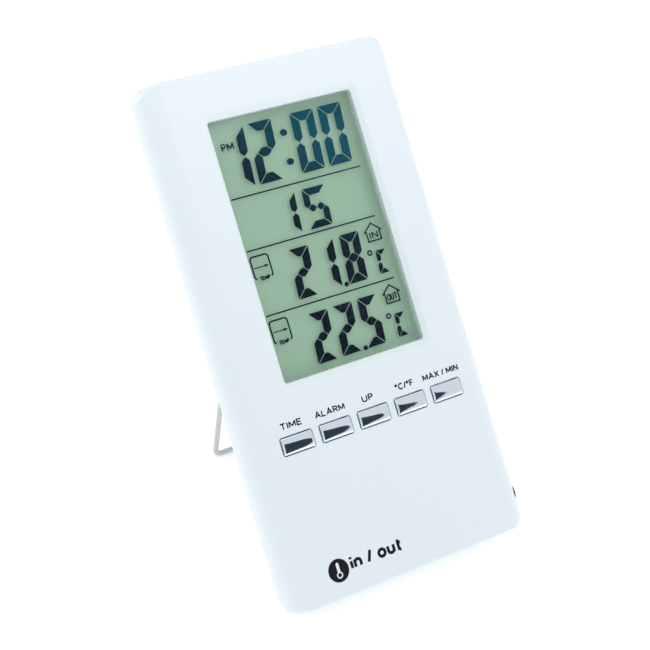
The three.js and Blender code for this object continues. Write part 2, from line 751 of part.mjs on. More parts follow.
function negativeSpring() {
  const clearance = SPRING_WIRE + 0.2;
  const start = BATTERY_LEFT + BATTERY_LENGTH + clearance;
  const helix = new HelixCurve(...SPRING_RADII, PARTITION_X - clearance - start, SPRING_TURNS);
  return wire(helix, SPRING_WIRE, 54, 6).translate(start, 0, 0);
}

// Contact plate with a raised dish that meets the battery's nub.
function positivePlate() {
  const dish = barX(2.4, [PLATE_X + FILM, PLATE_X + FILM + 0.35], [0, 0], 16);
  return block([PLATE_X, PLATE_X + PLATE_THICK], [-3, 3], [-4.2, 4.2]).add(dish);
}

// ---- socket -----------------------------------------------------------------------------------

function probeSocket() {
  const barrel = barX(SOCKET_RADIUS, SOCKET_X, [0, 0], 28);
  const bore = [SOCKET_X[0] + SOCKET_FLOOR, SOCKET_X[1] + OVERCUT];
  return barrel.subtract(barX(SOCKET_BORE, bore, [0, 0], 16));
}

// ---- stand, screws and leads --------------------------------------------------------------------

// Bent wire: two legs, a foot between them and two ends turned out, about the hinge, legs down.
function wireStand() {
  const legs = [-1, 1].flatMap((side) => {
    const x = side * STAND_HALF;
    const end = side * (STAND_HALF + CHANNEL_HALF + PIVOT_REACH - GAP);
    const leg = new THREE.CylinderGeometry(STAND_WIRE, STAND_WIRE, LEG_LENGTH, 12);
    const elbow = (z) => solid(new THREE.SphereGeometry(STAND_WIRE, 12, 8).translate(x, 0, z));
    return [
      solid(leg.rotateX(Math.PI / 2).translate(x, 0, -LEG_LENGTH / 2)),
      barX(STAND_WIRE, ordered(x, end), [0, 0], 12),
      elbow(0),
      elbow(-LEG_LENGTH),
    ];
  });
  const foot = barX(STAND_WIRE, [-STAND_HALF, STAND_HALF], [0, -LEG_LENGTH], 12);
  return joined([...legs, foot]);
}

// Screw with its head at the back and its shank running forward.
function screw({ shank, head, headThick, tip, seat }) {
  const back = seat + headThick;
  const recess = [back - 0.45 * headThick, back + OVERCUT];
  const arm = 0.75 * head;
  const armHalf = 0.2 * head;
  const body = barY(shank, [tip, seat + headThick / 2], [0, 0], 12);
  const top = barY(head, [seat, back], [0, 0], 18);
  const cross = [[arm, armHalf], [armHalf, arm]].map(([x, z]) =>
    block([-x, x], recess, [-z, z]));
  return body.add(top).subtract(joined(cross));
}

// Lead with a slack bow between two points.
function lead(from, to, bow) {
  const start = new THREE.Vector3(...from);
  const end = new THREE.Vector3(...to);
  const middle = start.clone().add(end).multiplyScalar(0.5).add(new THREE.Vector3(...bow));
  const curve = new THREE.QuadraticBezierCurve3(start, middle, end);
  return wire(curve, LEAD_RADIUS, 10, 3);
}

const LEAD_RADIUS = 0.4;
const SOLDER_Y = BOARD_BACK + 0.7; // depth at which leads meet the board
const SOUNDER_PAD_Y = 11.3;
const LEADS = {
  battery_lead_positive: {
    colour: "redWire",
    from: [-26.3, 8.3, 13.9],
    to: [-24.2, SOLDER_Y, 36],
    bow: [-1.2, 0, 0],
  },
  battery_lead_negative: {
    colour: "blackWire",
    from: [25, 9.2, 12],
    to: [24.2, SOLDER_Y, 36],
    bow: [3, 0, -3],
  },
  sounder_lead_a: {
    colour: "redWire",
    from: [-2.5, SOUNDER_PAD_Y, SOUNDER_Z + 3],
    to: [-6, SOLDER_Y, SOUNDER_Z + 13],
    bow: [0, 0.3, 0],
  },
  sounder_lead_b: {
    colour: "blackWire",
    from: [2.5, SOUNDER_PAD_Y, SOUNDER_Z + 3],
    to: [6, SOLDER_Y, SOUNDER_Z + 13],
    bow: [0, 0.3, 0],
  },
};

// ---- assembly ---------------------------------------------------------------------------------

const unit = new THREE.Group();

function place(name, shape, materialName, position = [0, 0, 0], parent = unit) {
  const geometry = shape.isBufferGeometry ? shape : geometryOf(shape);
  const mesh = new THREE.Mesh(geometry, MATERIALS[materialName]);
  mesh.name = name;
  mesh.position.set(...position);
  parent.add(mesh);
  return mesh;
}

place("front_shell", frontShell(), "case");
place("window_lens", windowLens(), "lens");
place("display_cell", displayCell(), "lcd");
place("display_reflector", displayReflector(), "film");
place("display_holder", displayHolder(), "holder");
place("upper_connector_strip", stripAt(1), "elastomer");
place("lower_connector_strip", stripAt(-1), "elastomer");

place("circuit_board", circuitBoard(), "board");
const ON_BOARD = BOARD_BACK + FILM;
place("controller_blob", controllerBlob(), "epoxy", [0, ON_BOARD, 62]);
place("clock_crystal", clockCrystal(), "steel", [8, ON_BOARD, 50]);
place("indoor_sensor", indoorSensor(), "epoxy", [-20, ON_BOARD, 41]);
place("filter_capacitor", filterCapacitor(), "capacitor", [-8, ON_BOARD, 52]);
place("sounder", sounder(), "brass", [0, COVER_INSIDE - BRASS_THICK - FILM, SOUNDER_Z]);
place("key_mat", keyMat(), "silicone");
BUTTON_NAMES.forEach((name, index) => {
  place(`button_${name}`, button(), "chrome", [buttonX(index), 0, BUTTON_Z]);
});

place("back_cover", backCover(), "case");
place("battery_door", batteryDoor(), "case");
place("battery", battery(), "batterySleeve", [0, BATTERY_Y, BATTERY_Z]);
place("negative_spring", negativeSpring(), "steel", [0, BATTERY_Y, BATTERY_Z]);
place("positive_plate", positivePlate(), "steel", [0, BATTERY_Y, BATTERY_Z]);
place("probe_socket", probeSocket(), "socket", [0, SOCKET_Y, SOCKET_Z]);

const stand = new THREE.Group();
stand.position.set(0, HINGE_Y, HINGE_Z);
stand.rotation.x = STAND_OPEN;
unit.add(stand);
place("wire_stand", wireStand(), "steel", [0, 0, 0], stand);

CASE_SCREWS.forEach(([x, z], index) => {
  place(`case_screw_${index + 1}`, screw(CASE_SCREW), "steel", [x, 0, z]);
});
BOARD_SCREWS.forEach(([x, z], index) => {
  place(`board_screw_${index + 1}`, screw(BOARD_SCREW), "steel", [x, 0, z]);
});
Object.entries(LEADS).forEach(([name, { colour, from, to, bow }]) => {
  place(name, lead(from, to, bow), colour);
});

// Lean the unit back and set it on the table, with the footprint's middle at the origin.
unit.rotation.x = -LEAN;
const footprint = new THREE.Box3().setFromObject(unit, true);
unit.position.set(0, -(footprint.min.y + footprint.max.y) / 2, -footprint.min.z);

const thermometer = new THREE.Group();
thermometer.add(unit);

export default thermometer;
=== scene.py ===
"""Looks of the maximum minimum thermometer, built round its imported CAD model."""

import json
import math

import bmesh
import bpy
from mathutils import Matrix, Vector
from mathutils.geometry import delaunay_2d_cdt


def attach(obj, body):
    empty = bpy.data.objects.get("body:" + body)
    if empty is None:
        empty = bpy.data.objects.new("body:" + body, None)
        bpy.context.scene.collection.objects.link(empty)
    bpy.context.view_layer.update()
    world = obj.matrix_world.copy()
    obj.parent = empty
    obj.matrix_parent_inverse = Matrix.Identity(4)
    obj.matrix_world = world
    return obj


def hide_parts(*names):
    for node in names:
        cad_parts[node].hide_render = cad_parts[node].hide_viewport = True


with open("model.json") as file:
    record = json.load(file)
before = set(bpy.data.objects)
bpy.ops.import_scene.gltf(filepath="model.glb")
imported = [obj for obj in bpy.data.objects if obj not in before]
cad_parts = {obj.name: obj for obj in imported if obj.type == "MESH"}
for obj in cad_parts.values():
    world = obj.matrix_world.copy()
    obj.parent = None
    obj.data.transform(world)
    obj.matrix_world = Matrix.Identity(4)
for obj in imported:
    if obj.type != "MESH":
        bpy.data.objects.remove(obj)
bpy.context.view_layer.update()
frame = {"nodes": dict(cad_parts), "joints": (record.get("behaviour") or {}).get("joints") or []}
NODES = frame["nodes"]

# ---- the unit's own frame -------------------------------------------------------------------
# Pieces are drawn upright, in millimetres: x to the right, y from the face to the back, z up
# from the bottom edge. UNIT sets them down in metres where the leaned CAD model stands.
MM = 0.001
JOINTS = {joint["name"]: joint for joint in frame["joints"]}
RIGHTWARD = Vector((1, 0, 0))
BACKWARD = Vector(JOINTS["time_press"]["axis"]).normalized()
UPWARD = RIGHTWARD.cross(BACKWARD)
TURN = Matrix((RIGHTWARD, BACKWARD, UPWARD)).transposed().to_4x4()


def spread(node, axis):
    """How far a CAD node reaches along an axis: its lowest and highest place, in metres."""
    reach = [vertex.co.dot(axis) for vertex in NODES[node].data.vertices]
    return min(reach), max(reach)


ORIGIN = BACKWARD * spread("front_shell", BACKWARD)[0] + UPWARD * spread("front_shell", UPWARD)[0]
UNIT = Matrix.Translation(ORIGIN) @ TURN @ Matrix.Scale(MM, 4)


def unit_box(node):
    """((x0, x1), (y0, y1), (z0, z1)) of a CAD node in the unit's frame, in millimetres."""
    spans = []
    for axis in (RIGHTWARD, BACKWARD, UPWARD):
        low, high = spread(node, axis)
        start = ORIGIN.dot(axis)
        spans.append(((low - start) / MM, (high - start) / MM))
    return spans


def middle(span):
    return (span[0] + span[1]) / 2


def length(span):
    return span[1] - span[0]


# ---- sizes ----
CASE_X, _, CASE_Z = unit_box("front_shell")
HALF_WIDTH = CASE_X[1]
HEIGHT = CASE_Z[1]
FACE_HALF = 24.9  # half width of the flat face, up to the creases
SIDE_RISE = 4.9  # depth of the side roundings
CREASE = math.radians(8)  # turn of the surface at each crease
FRONT_DEPTH = 5.6  # parting line
PLAN_CORNER = 2.8
END_EDGE = 0.7  # rounding along the top and bottom edges
WALL = 1.6
GAP = 0.3
ROOT = 0.4  # how far posts run into the wall they stand on
WELD = 0.001  # points closer than this are one point

COVER_X, COVER_Y, COVER_Z = unit_box("back_cover")
COVER_HALF = COVER_X[1]
BACK_HALF = 25
PAD_Y = COVER_Y[1]
PAD_PROUD = 0.4
BACK_Y = PAD_Y - PAD_PROUD
COVER_WALL = 1.4
COVER_CORNER = 2.2
COVER_INSIDE = BACK_Y - COVER_WALL
LIP_DROP = 1.6  # how far the cover's lip drops into the front shell

LENS_X, LENS_Y, LENS_Z = unit_box("window_lens")
COLLAR = 1.2  # the window's flange and the collar in front of it reach this far past the opening
WINDOW = (length(LENS_X) - 2 * COLLAR, length(LENS_Z) - 2 * COLLAR)
WINDOW_AT = (0, middle(LENS_Z))
WINDOW_CORNER = 0.6
WINDOW_BEVEL = 1.3
WINDOW_SINK = 0.7
COLLAR_BACK = 2.6

CELL_X, CELL_Y, CELL_Z = unit_box("display_cell")

BUTTONS = ["time", "alarm", "up", "unit", "max_min"]
BUTTON_HOLE = (7.7, 3.9)
BUTTON_CAP = (7.3, 3.5)
BUTTON_FLANGE = (8.7, 5.2)
BUTTON_STEM = (3.6, 2)
FLANGE_Y = (1.9, 2.7)
STEM_BACK = 4.6

CASE_SCREWS = [f"case_screw_{number}" for number in (1, 2, 3, 4)]
BOARD_SCREWS = [f"board_screw_{number}" for number in (1, 2, 3, 4)]
CASE_POST = 2.1  # radii of the screw posts and of the holes down them
CASE_PILOT = 1.4
BOARD_POST = 1.8
BOARD_PILOT = 1.1
BOARD_POST_END = 6.85
BOSS = 3  # radius of the cover's bosses, and of the wells for the screws' heads
WELL = 2.4
WELL_FLOOR = 10.65

DOOR_X, (HOOK_FRONT, _), (HOOK_BOTTOM, DOOR_TOP) = unit_box("battery_door")
DOOR_THICK = 1.3
DOOR_Y = (BACK_Y - DOOR_THICK, BACK_Y)
HOOK_X = (-14, 14)  # two hooks behind the cover, on the door's bottom edge
HOOK_HALF = 2.5
HOOK_THICK = 0.9
HOOK_REACH = 0.9
HOOK_RISE = 1.1
HOOK_EASE = 0.15
THUMB_HALF = 5  # recess in the door for a thumb
THUMB_SINK = 0.6
DOOR_Z = (HOOK_BOTTOM + HOOK_REACH, DOOR_TOP)
BATTERY_X, BATTERY_Y, BATTERY_Z = unit_box("battery")
SOCKET_X, SOCKET_Y, SOCKET_Z = unit_box("probe_socket")
_, _, SOUNDER_Z = unit_box("sounder")

STAND_X, STAND_Y, STAND_Z = unit_box("wire_stand")
WIRE_RADIUS = 0.6
STAND_HALF = 14.4
CHANNEL_HALF = 1.2
CHANNEL_FLOOR = BACK_Y - 2
CHANNEL_SKIN = 1.2
LUG_LENGTH = 3
NOTCH_HALF = 5  # fingernail notch above the folded foot

KEYHOLE_RADIUS = 3.6
KEYHOLE_SLOT = 1.9
KEYHOLE_RISE = 6
KEYHOLE_Z = 97
PAD_SIZE = (14, 20)
PAD_RISE = 2  # its middle above the keyhole's entry
SOUNDER_RING = (9.3, 10.3)  # inner and outer radius
RING_FRONT = 11.4  # depth where the ring round the sounder starts


# ---- outlines and paths ----
def arc_steps(steps):
    """Angles from 0 to a quarter turn."""
    return [step / steps * math.pi / 2 for step in range(steps + 1)]


def rectangle(width, height, corner, centre=(0, 0), steps=5):
    """Outline of a rounded rectangle that can grow by a distance all round."""

    def outline(grow):
        radius = max(corner + grow, 0.03)
        points = []
        for quarter, (side_x, side_z) in enumerate(((1, 1), (-1, 1), (-1, -1), (1, -1))):
            x = centre[0] + side_x * (width / 2 + grow - radius)
            z = centre[1] + side_z * (height / 2 + grow - radius)
            for angle in arc_steps(steps):
                turned_by = angle + quarter * math.pi / 2
                points.append((x + radius * math.cos(turned_by), z + radius * math.sin(turned_by)))
        return points

    return outline


def box_outline(x_span, z_span, corner):
    return rectangle(length(x_span), length(z_span), corner, (middle(x_span), middle(z_span)))


def disc(centre, radius_x, radius_z, sides=20):
    turns = [2 * math.pi * side / sides for side in range(sides)]
    return [(centre[0] + radius_x * math.cos(turn), centre[1] + radius_z * math.sin(turn)) for turn in turns]


def circle(centre=(0, 0), sides=40):
    """Outline of a circle whose radius is the distance it grows."""
    return lambda radius: disc(centre, radius, radius, sides)


def keyhole(grow):
    """Round entry with a slot above it that ends in a half circle."""
    entry = KEYHOLE_RADIUS + grow
    slot = KEYHOLE_SLOT + grow
    half_gap = math.asin(slot / entry)
    start = math.pi / 2 + half_gap
    sweep = 2 * math.pi - 2 * half_gap
    points = []
    for step in range(41):
        angle = start + sweep * step / 40
        points.append((entry * math.cos(angle), KEYHOLE_Z + entry * math.sin(angle)))
    for step in range(17):
        angle = math.pi * step / 16
        points.append((slot * math.cos(angle), KEYHOLE_Z + KEYHOLE_RISE + slot * math.sin(angle)))
    return points


def softened(corners, steps=5):
    """Path through corners (a, b) or (a, b, radius), with an arc at each corner that has a radius."""
    path = []
    for index, corner in enumerate(corners):
        point = Vector(corner[:2])
        if len(corner) == 2 or index in (0, len(corners) - 1):
            path.append(tuple(point))
            continue
        before = (Vector(corners[index - 1][:2]) - point).normalized()
        after = (Vector(corners[index + 1][:2]) - point).normalized()
        half_angle = before.angle(after) / 2
        centre = point + (before + after).normalized() * corner[2] / math.sin(half_angle)
        start = point + before * corner[2] / math.tan(half_angle) - centre
        turn = start.angle_signed(point + after * corner[2] / math.tan(half_angle) - centre)
        for step in range(steps + 1):
            spoke = start.copy()
            spoke.rotate(Matrix.Rotation(-turn * step / steps, 2))
            path.append(tuple(centre + spoke))
    return path


def mouth(radius, face, floor, overrun=1, steps=4):
    """Path of a cutter from outside a face to a floor, which leaves the edge at the face rounded."""
    way = 1 if floor > face else -1
    path = [(radius, face - way * overrun)]
    for angle in arc_steps(steps):
        path.append((radius * (1 - math.sin(angle)), face + way * radius * (1 - math.cos(angle))))
    path.append((0, floor))
    return path


# ---- solids ----
def linked(name, data):
    """New object in the scene that holds some data."""
    made = bpy.data.objects.new(name, data)
    bpy.context.scene.collection.objects.link(made)
    return made


def object_of(builder):
    data = bpy.data.meshes.new("solid")
    bmesh.ops.recalc_face_normals(builder, faces=builder.faces)
    builder.to_mesh(data)
    builder.free()
    return linked("solid", data)


def loft(rings):
    """Closed solid through rings of equal length, with flat ends."""
    builder = bmesh.new()
    loops = [[builder.verts.new(point) for point in ring] for ring in rings]
    count = len(loops[0])
    for near, far in zip(loops, loops[1:]):
        for here in range(count):
            after = (here + 1) % count
            builder.faces.new((near[here], near[after], far[after], far[here]))
    builder.faces.new(loops[0])
    builder.faces.new(loops[-1])
    return object_of(builder)


def moulded(outline, path):
    """Solid whose outline, in x and z, grows by the first value of each path point at depth y."""
    return loft([[(x, depth, z) for x, z in outline(grow)] for grow, depth in path])


def slab(x_span, z_span, corner, path):
    """Solid with a rounded outline that fills a span in x and one in z."""
    return moulded(box_outline(x_span, z_span, corner), path)


def block(x_span, y_span, z_span):
    return slab(x_span, z_span, 0, [(0, y_span[0]), (0, y_span[1])])


def along_x(made, y, z):
    """Turns a solid drawn along y so that it lies along x, through a given y and z."""
    made.data.transform(Matrix.Translation((0, y, z)) @ Matrix.Rotation(-math.pi / 2, 4, "Z"))
    return made


def turned(path, y_span, z_span, sides=40):
    """Round solid about a line along x, through the middle of a span in y and one in z."""
    return along_x(moulded(circle(sides=sides), path), middle(y_span), middle(z_span))


def applied(made):
    """Bakes an object's modifiers into its mesh."""
    graph = bpy.context.evaluated_depsgraph_get()
    made.data = bpy.data.meshes.new_from_object(made.evaluated_get(graph))
    made.modifiers.clear()
    return made


def welded(data):
    """Joins the points of a mesh that all but touch, which removes faces with no area."""
    builder = bmesh.new()
    builder.from_mesh(data)
    bmesh.ops.remove_doubles(builder, verts=builder.verts[:], dist=WELD)
    bmesh.ops.dissolve_degenerate(builder, dist=WELD, edges=builder.edges[:])
    builder.to_mesh(data)
    builder.free()


def combined(base, others, operation):
    """base after each of the others is joined to it or cut from it."""
    for other in others:
        modifier = base.modifiers.new("combine", "BOOLEAN")
        modifier.operation = operation
        modifier.solver = "EXACT"
        modifier.object = other
    welded(applied(base).data)
    for other in others:
        bpy.data.objects.remove(other)
    return base


def with_parts(base, others):
    return combined(base, others, "UNION")


def without(base, others):
    return combined(base, others, "DIFFERENCE")


def merged(objects):
    """One object that holds the meshes of several."""
    builder = bmesh.new()
    for part in objects:
        builder.from_mesh(part.data)
        bpy.data.objects.remove(part)
    return object_of(builder)


def middle_of(node):
    """Middle of a CAD node, in x and z."""
    x_span, _, z_span = unit_box(node)
    return middle(x_span), middle(z_span)


# ---- materials ----
def wired(tree, kind, inputs, output=0, **settings):
    """Adds a node, gives each of its inputs a value or a link, and returns one of its outputs."""
    made = tree.nodes.new(kind)
    for key, value in settings.items():
        setattr(made, key, value)
    for key, value in inputs.items():
        if isinstance(value, bpy.types.NodeSocket):
            tree.links.new(value, made.inputs[key])
        else:
            made.inputs[key].default_value = value
    return made.outputs[output]


class Finish:
    """A node material built step by step round one Principled shader."""

    def __init__(self, name, color, roughness, **inputs):
        self.name = name
        self.material = bpy.data.materials.new(name)
        self.material.use_nodes = True
        self.tree = self.material.node_tree
        self.shader = self.tree.nodes["Principled BSDF"]
        self.shader.inputs["Base Color"].default_value = (*color, 1)
        self.shader.inputs["Roughness"].default_value = roughness
        for key, value in inputs.items():
            self.shader.inputs[key.replace("_", " ")].default_value = value
        self.color = color
        self.roughness = roughness
        self.material.diffuse_color = (*color, 1)
        self.place = self.node("ShaderNodeTexCoord", {}, "Object")

    def node(self, kind, inputs, output=0, **settings):
        return wired(self.tree, kind, inputs, output, **settings)

    def feed(self, name, source):
        """Links a node's output to one of the shader's inputs."""
        self.tree.links.new(source, self.shader.inputs[name])
        return self

    def noise(self, size, detail=3, stretch=(1, 1, 1)):
        """Noise whose features are about `size` millimetres wide."""
        place = self.node("ShaderNodeMapping", {"Vector": self.place, "Scale": stretch})
        inputs = {"Vector": place, "Scale": 1 / (size * MM), "Detail": detail}
        return self.node("ShaderNodeTexNoise", inputs, "Fac")

    def spread_over(self, factor, low, high):
        """A factor from 0 to 1 turned into a value between low and high."""
        return self.node("ShaderNodeMapRange", {"Value": factor, "To Min": low, "To Max": high}, "Result")

    def blend(self, factor, low, high):
        """Takes the colour from low to high as a factor goes from 0 to 1."""
        inputs = {"Factor": factor, "A": (*low, 1), "B": (*high, 1)}
        return self.feed("Base Color", self.node("ShaderNodeMix", inputs, "Result", data_type="RGBA"))

    def tint(self, size, other, share=1.0):
        """Lets the colour drift towards another one in patches."""
        return self.blend(self.spread_over(self.noise(size), 0, share), self.color, other)

    def wear(self, size, amount):
        """Lets the roughness vary in patches."""
        low, high = self.roughness - amount, self.roughness + amount
        return self.feed("Roughness", self.spread_over(self.noise(size), low, high))

    def grain(self, size, depth, edge=0.12, stretch=(1, 1, 1)):
        """Fine surface relief, with the edges eased by a small radius; all in millimetres."""
        inputs = {"Distance": depth * MM, "Strength": 1, "Height": self.noise(size, 2, stretch)}
        if edge:
            inputs["Normal"] = self.node("ShaderNodeBevel", {"Radius": edge * MM}, samples=4)
        return self.feed("Normal", self.node("ShaderNodeBump", inputs))


def clear(name, color, roughness, ior):
    """Clear plastic or glass that lets light through to what lies behind it."""
    faint = (0.03, 0.04, 0.05, 1)
    finish = Finish(name, color, roughness, Transmission_Weight=1.0, IOR=ior, Specular_Tint=faint)
    finish.wear(6, roughness * 0.3)
    shadow = finish.node("ShaderNodeLightPath", {}, "Is Shadow Ray")
    diffuse = finish.node("ShaderNodeLightPath", {}, "Is Diffuse Ray")
    indirect = finish.node("ShaderNodeMath", {0: shadow, 1: diffuse}, operation="MAXIMUM")
    through = finish.node("ShaderNodeBsdfTransparent", {"Color": (*color, 1)})
    shaders = {0: indirect, 1: finish.shader.outputs["BSDF"], 2: through}
    mixed = finish.node("ShaderNodeMixShader", shaders)
    finish.tree.links.new(mixed, finish.tree.nodes["Material Output"].inputs["Surface"])
    return finish


CASE_WHITE = (0.645, 0.718, 0.758)
CASE_SHADE = (0.655, 0.718, 0.75)
BAND_GREY = (0.1, 0.12, 0.135)
SLEEVE_GREY = (0.46, 0.49, 0.5)
SEGMENT_DARK = (0.002, 0.006, 0.016)
SEGMENT_REFLECTED_TEAL = (0.004, 0.062, 0.11)


def display_grey_with_painted_glow():
    """The display's grey-green ground, with a painted glow that stands in for light scattered in the window.
    """
    # The emission is painted light: it lifts the shade that the window's walls cast on the ground.
    finish = Finish(
        "display_grey_with_painted_glow", (0.185, 0.253, 0.192), 0.6,
        Emission_Color=(0.143, 0.205, 0.165, 1), Emission_Strength=1.0, Specular_IOR_Level=0.1,
    )
    return finish.tint(14, (0.19, 0.25, 0.215)).grain(0.12, 0.004, 0)


def printed_ink():
    finish = Finish("printed_ink", (0.005, 0.006, 0.01), 0.6, Specular_IOR_Level=0.2)
    return finish.wear(1, 0.1).grain(0.15, 0.006, 0)


def dyed(name, color):
    """Insulation of a lead."""
    return Finish(name, color, 0.4).wear(2, 0.08).grain(0.5, 0.01, 0)


def metal(name, color, roughness):
    return Finish(name, color, roughness, Metallic=1.0)


def battery_finish():
    """Printed film sleeve: pale grey with a darker band at its positive end."""
    finish = Finish("battery_sleeve", (0.55, 0.57, 0.58), 0.3, Metallic=0.6).wear(3, 0.06)
    band_edge = (BATTERY_X[0] + 0.3 * length(BATTERY_X)) * MM
    along = finish.node("ShaderNodeSeparateXYZ", {"Vector": finish.place}, "X")
    past_band = finish.node("ShaderNodeMath", {0: along, 1: band_edge}, operation="GREATER_THAN")
    return finish.blend(past_band, BAND_GREY, SLEEVE_GREY).grain(0.6, 0.006)


def segment_finish():
    """Liquid crystal segments: nearly black low on the left, teal towards the upper right as a painted
    reflection.
    """
    finish = Finish("display_segments", (0.004, 0.012, 0.03), 0.5, Specular_IOR_Level=0.05)
    finish.wear(2, 0.05)
    # Painted reflection: the colour runs from dark to teal along this slant, upwards and to the right.
    slope = (RIGHTWARD + UPWARD).normalized()
    low = (ORIGIN + UPWARD * CELL_Z[0] * MM).dot(slope)
    along = finish.node("ShaderNodeVectorMath", {0: finish.place, 1: slope}, "Value", operation="DOT_PRODUCT")
    reach = {"Value": along, "From Min": low + 20 * MM, "From Max": low + 45 * MM}
    reflection_ramp = finish.node("ShaderNodeMapRange", reach, "Result", interpolation_type="SMOOTHSTEP")
    return finish.blend(reflection_ramp, SEGMENT_DARK, SEGMENT_REFLECTED_TEAL).grain(0.2, 0.004, 0)


FINISHES = [
    Finish("case_white", CASE_WHITE, 0.3).tint(24, CASE_SHADE, 0.6).wear(9, 0.04).grain(0.35, 0.004),
    Finish("cover_white", CASE_WHITE, 0.42).tint(18, CASE_SHADE, 0.6).wear(7, 0.05).grain(0.28, 0.014),
    clear("clear_window", (0.97, 0.99, 0.98), 0.005, 1.49),
    clear("display_glass", (0.95, 0.98, 0.95), 0.01, 1.5),
    display_grey_with_painted_glow(),
    Finish("display_film", (0.52, 0.56, 0.48), 0.5).tint(6, (0.56, 0.58, 0.5)).grain(0.2, 0.01, 0),
    segment_finish(),
    Finish("holder_white", (0.84, 0.84, 0.8), 0.5).tint(10, (0.8, 0.8, 0.76)).grain(0.3, 0.01),
    Finish("elastomer", (0.45, 0.42, 0.41), 0.8).tint(1, (0.1, 0.1, 0.1), 0.6).grain(0.3, 0.02, 0),
    Finish("board_laminate", (0.03, 0.17, 0.07), 0.35).tint(2.5, (0.05, 0.25, 0.1)).grain(0.8, 0.03, 0),
    Finish("black_epoxy", (0.01, 0.01, 0.012), 0.25).wear(2, 0.1).grain(2, 0.05, 0),
    metal("bare_metal", (0.7, 0.71, 0.72), 0.3).wear(1.5, 0.1).grain(0.2, 0.006, 0.05),
    Finish("capacitor_sleeve", (0.05, 0.07, 0.12), 0.4).wear(2, 0.1).grain(0.5, 0.01),
    metal("sounder_brass", (0.72, 0.5, 0.2), 0.35).tint(3, (0.6, 0.4, 0.16)).grain(0.3, 0.01, 0),
    Finish("silicone", (0.6, 0.61, 0.6), 0.75).tint(3, (0.55, 0.56, 0.55)).grain(0.3, 0.02),
    metal("button_chrome", (0.80, 0.88, 0.95), 0.06).wear(2, 0.02).grain(1.5, 0.004, 0.06),
    Finish("socket_black", (0.012, 0.012, 0.013), 0.4).wear(2, 0.08).grain(0.25, 0.01),
    metal("stand_wire", (0.54, 0.56, 0.57), 0.32).wear(2, 0.08).grain(0.25, 0.01, 0, (0.1, 1, 1)),
    dyed("red_insulation", (0.45, 0.012, 0.01)),
    dyed("black_insulation", (0.012, 0.012, 0.012)),
    battery_finish(),
    printed_ink(),
]
MATERIALS = {finish.name: finish for finish in FINISHES}

# The CAD nodes that stay on show, by what they are made of.
KEPT_NODES = {
    "display_film": ["display_reflector"],
    "holder_white": ["display_holder"],
    "elastomer": ["upper_connector_strip", "lower_connector_strip"],
    "board_laminate": ["circuit_board"],
    "black_epoxy": ["controller_blob", "indoor_sensor"],
    "bare_metal": ["clock_crystal", "negative_spring", "positive_plate", *BOARD_SCREWS],
    "capacitor_sleeve": ["filter_capacitor"],
    "sounder_brass": ["sounder"],
    "silicone": ["key_mat"],
    "red_insulation": ["battery_lead_positive", "sounder_lead_a"],
    "black_insulation": ["battery_lead_negative", "sounder_lead_b"],
}


def smoothed(data, angle=32):
    for face in data.polygons:
        face.use_smooth = True
    data.set_sharp_from_angle(angle=math.radians(angle))


for material, names in KEPT_NODES.items():
    for name in names:
        shape = NODES[name].data
        smoothed(shape)
        shape.materials.clear()
        shape.materials.append(MATERIALS[material].material)


def piece(made, name, body, material, replaces=(), smooth=32):
    """Sets a drawn solid down in the CAD model's frame, as a finished piece that rides on a body."""
    made.name = name
    made.data.name = name
    made.data.transform(UNIT)
    made.data.materials.clear()
    made.data.materials.append(MATERIALS[material].material)
    smoothed(made.data, smooth)
    weighted = made.modifiers.new("even shading", "WEIGHTED_NORMAL")
    weighted.keep_sharp = True
    weighted.weight = 80
    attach(made, body)
    if replaces:
        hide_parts(*replaces)
    return made


# ---- case halves ----
def lost(distance, radius):
    """How far a rounding has stepped in, at a distance from the end it rounds."""
    if distance >= radius:
        return 0
    return radius - math.sqrt(radius**2 - (radius - distance) ** 2)


def levels(z_span, radii, steps=6):
    """Heights where sections are drawn: close together in the end roundings, open between."""
    distances = sorted({round(r * (1 - math.cos(a)), 4) for r in radii for a in arc_steps(steps)})
    below = [z_span[0] + distance for distance in distances]
    above = [z_span[1] - distance for distance in reversed(distances)]
    return below + above


def case_half(z_span, half, flat, rise, face, back, corner, edge, crease=0.0, steps=14):
    """Solid of one case half: flat face, rounded sides that run to its back, rounded ends."""
    way = 1 if back > face else -1
    rings = []
    for z in levels(z_span, (corner, edge)):
        from_end = min(z - z_span[0], z_span[1] - z)
        side = half - lost(from_end, corner)
        sink = lost(from_end, edge)
        reach = (side - flat) / (1 - math.sin(crease))
        fall = (rise - sink) / math.cos(crease)
        rounding = []
        for step in range(steps + 1):
            angle = crease + (math.pi / 2 - crease) * step / steps
            x = flat + reach * (math.sin(angle) - math.sin(crease))
            depth = sink + fall * (math.cos(crease) - math.cos(angle))
            rounding.append((x, face + way * depth))
        right = [(side, back)] + rounding[::-1]
        left = [(-x, y) for x, y in reversed(right)]
        rings.append([(x, y, z) for x, y in right + left])
    return loft(rings)


def window_cutter():
    """The window's opening with its sloping, soft-edged margin, widest at the face."""
    corners = [(WINDOW_BEVEL + 1, 0), (WINDOW_BEVEL, 0, 1.4), (0, WINDOW_SINK, 0.2), (0, COLLAR_BACK + 1)]
    slope = softened(corners)
    slope[0] = (slope[1][0], -1)
    return moulded(rectangle(*WINDOW, WINDOW_CORNER, WINDOW_AT), slope)


def posts(places, radius, y_span):
    return [moulded(circle(at), [(radius, y_span[0]), (radius, y_span[1])]) for at in places]


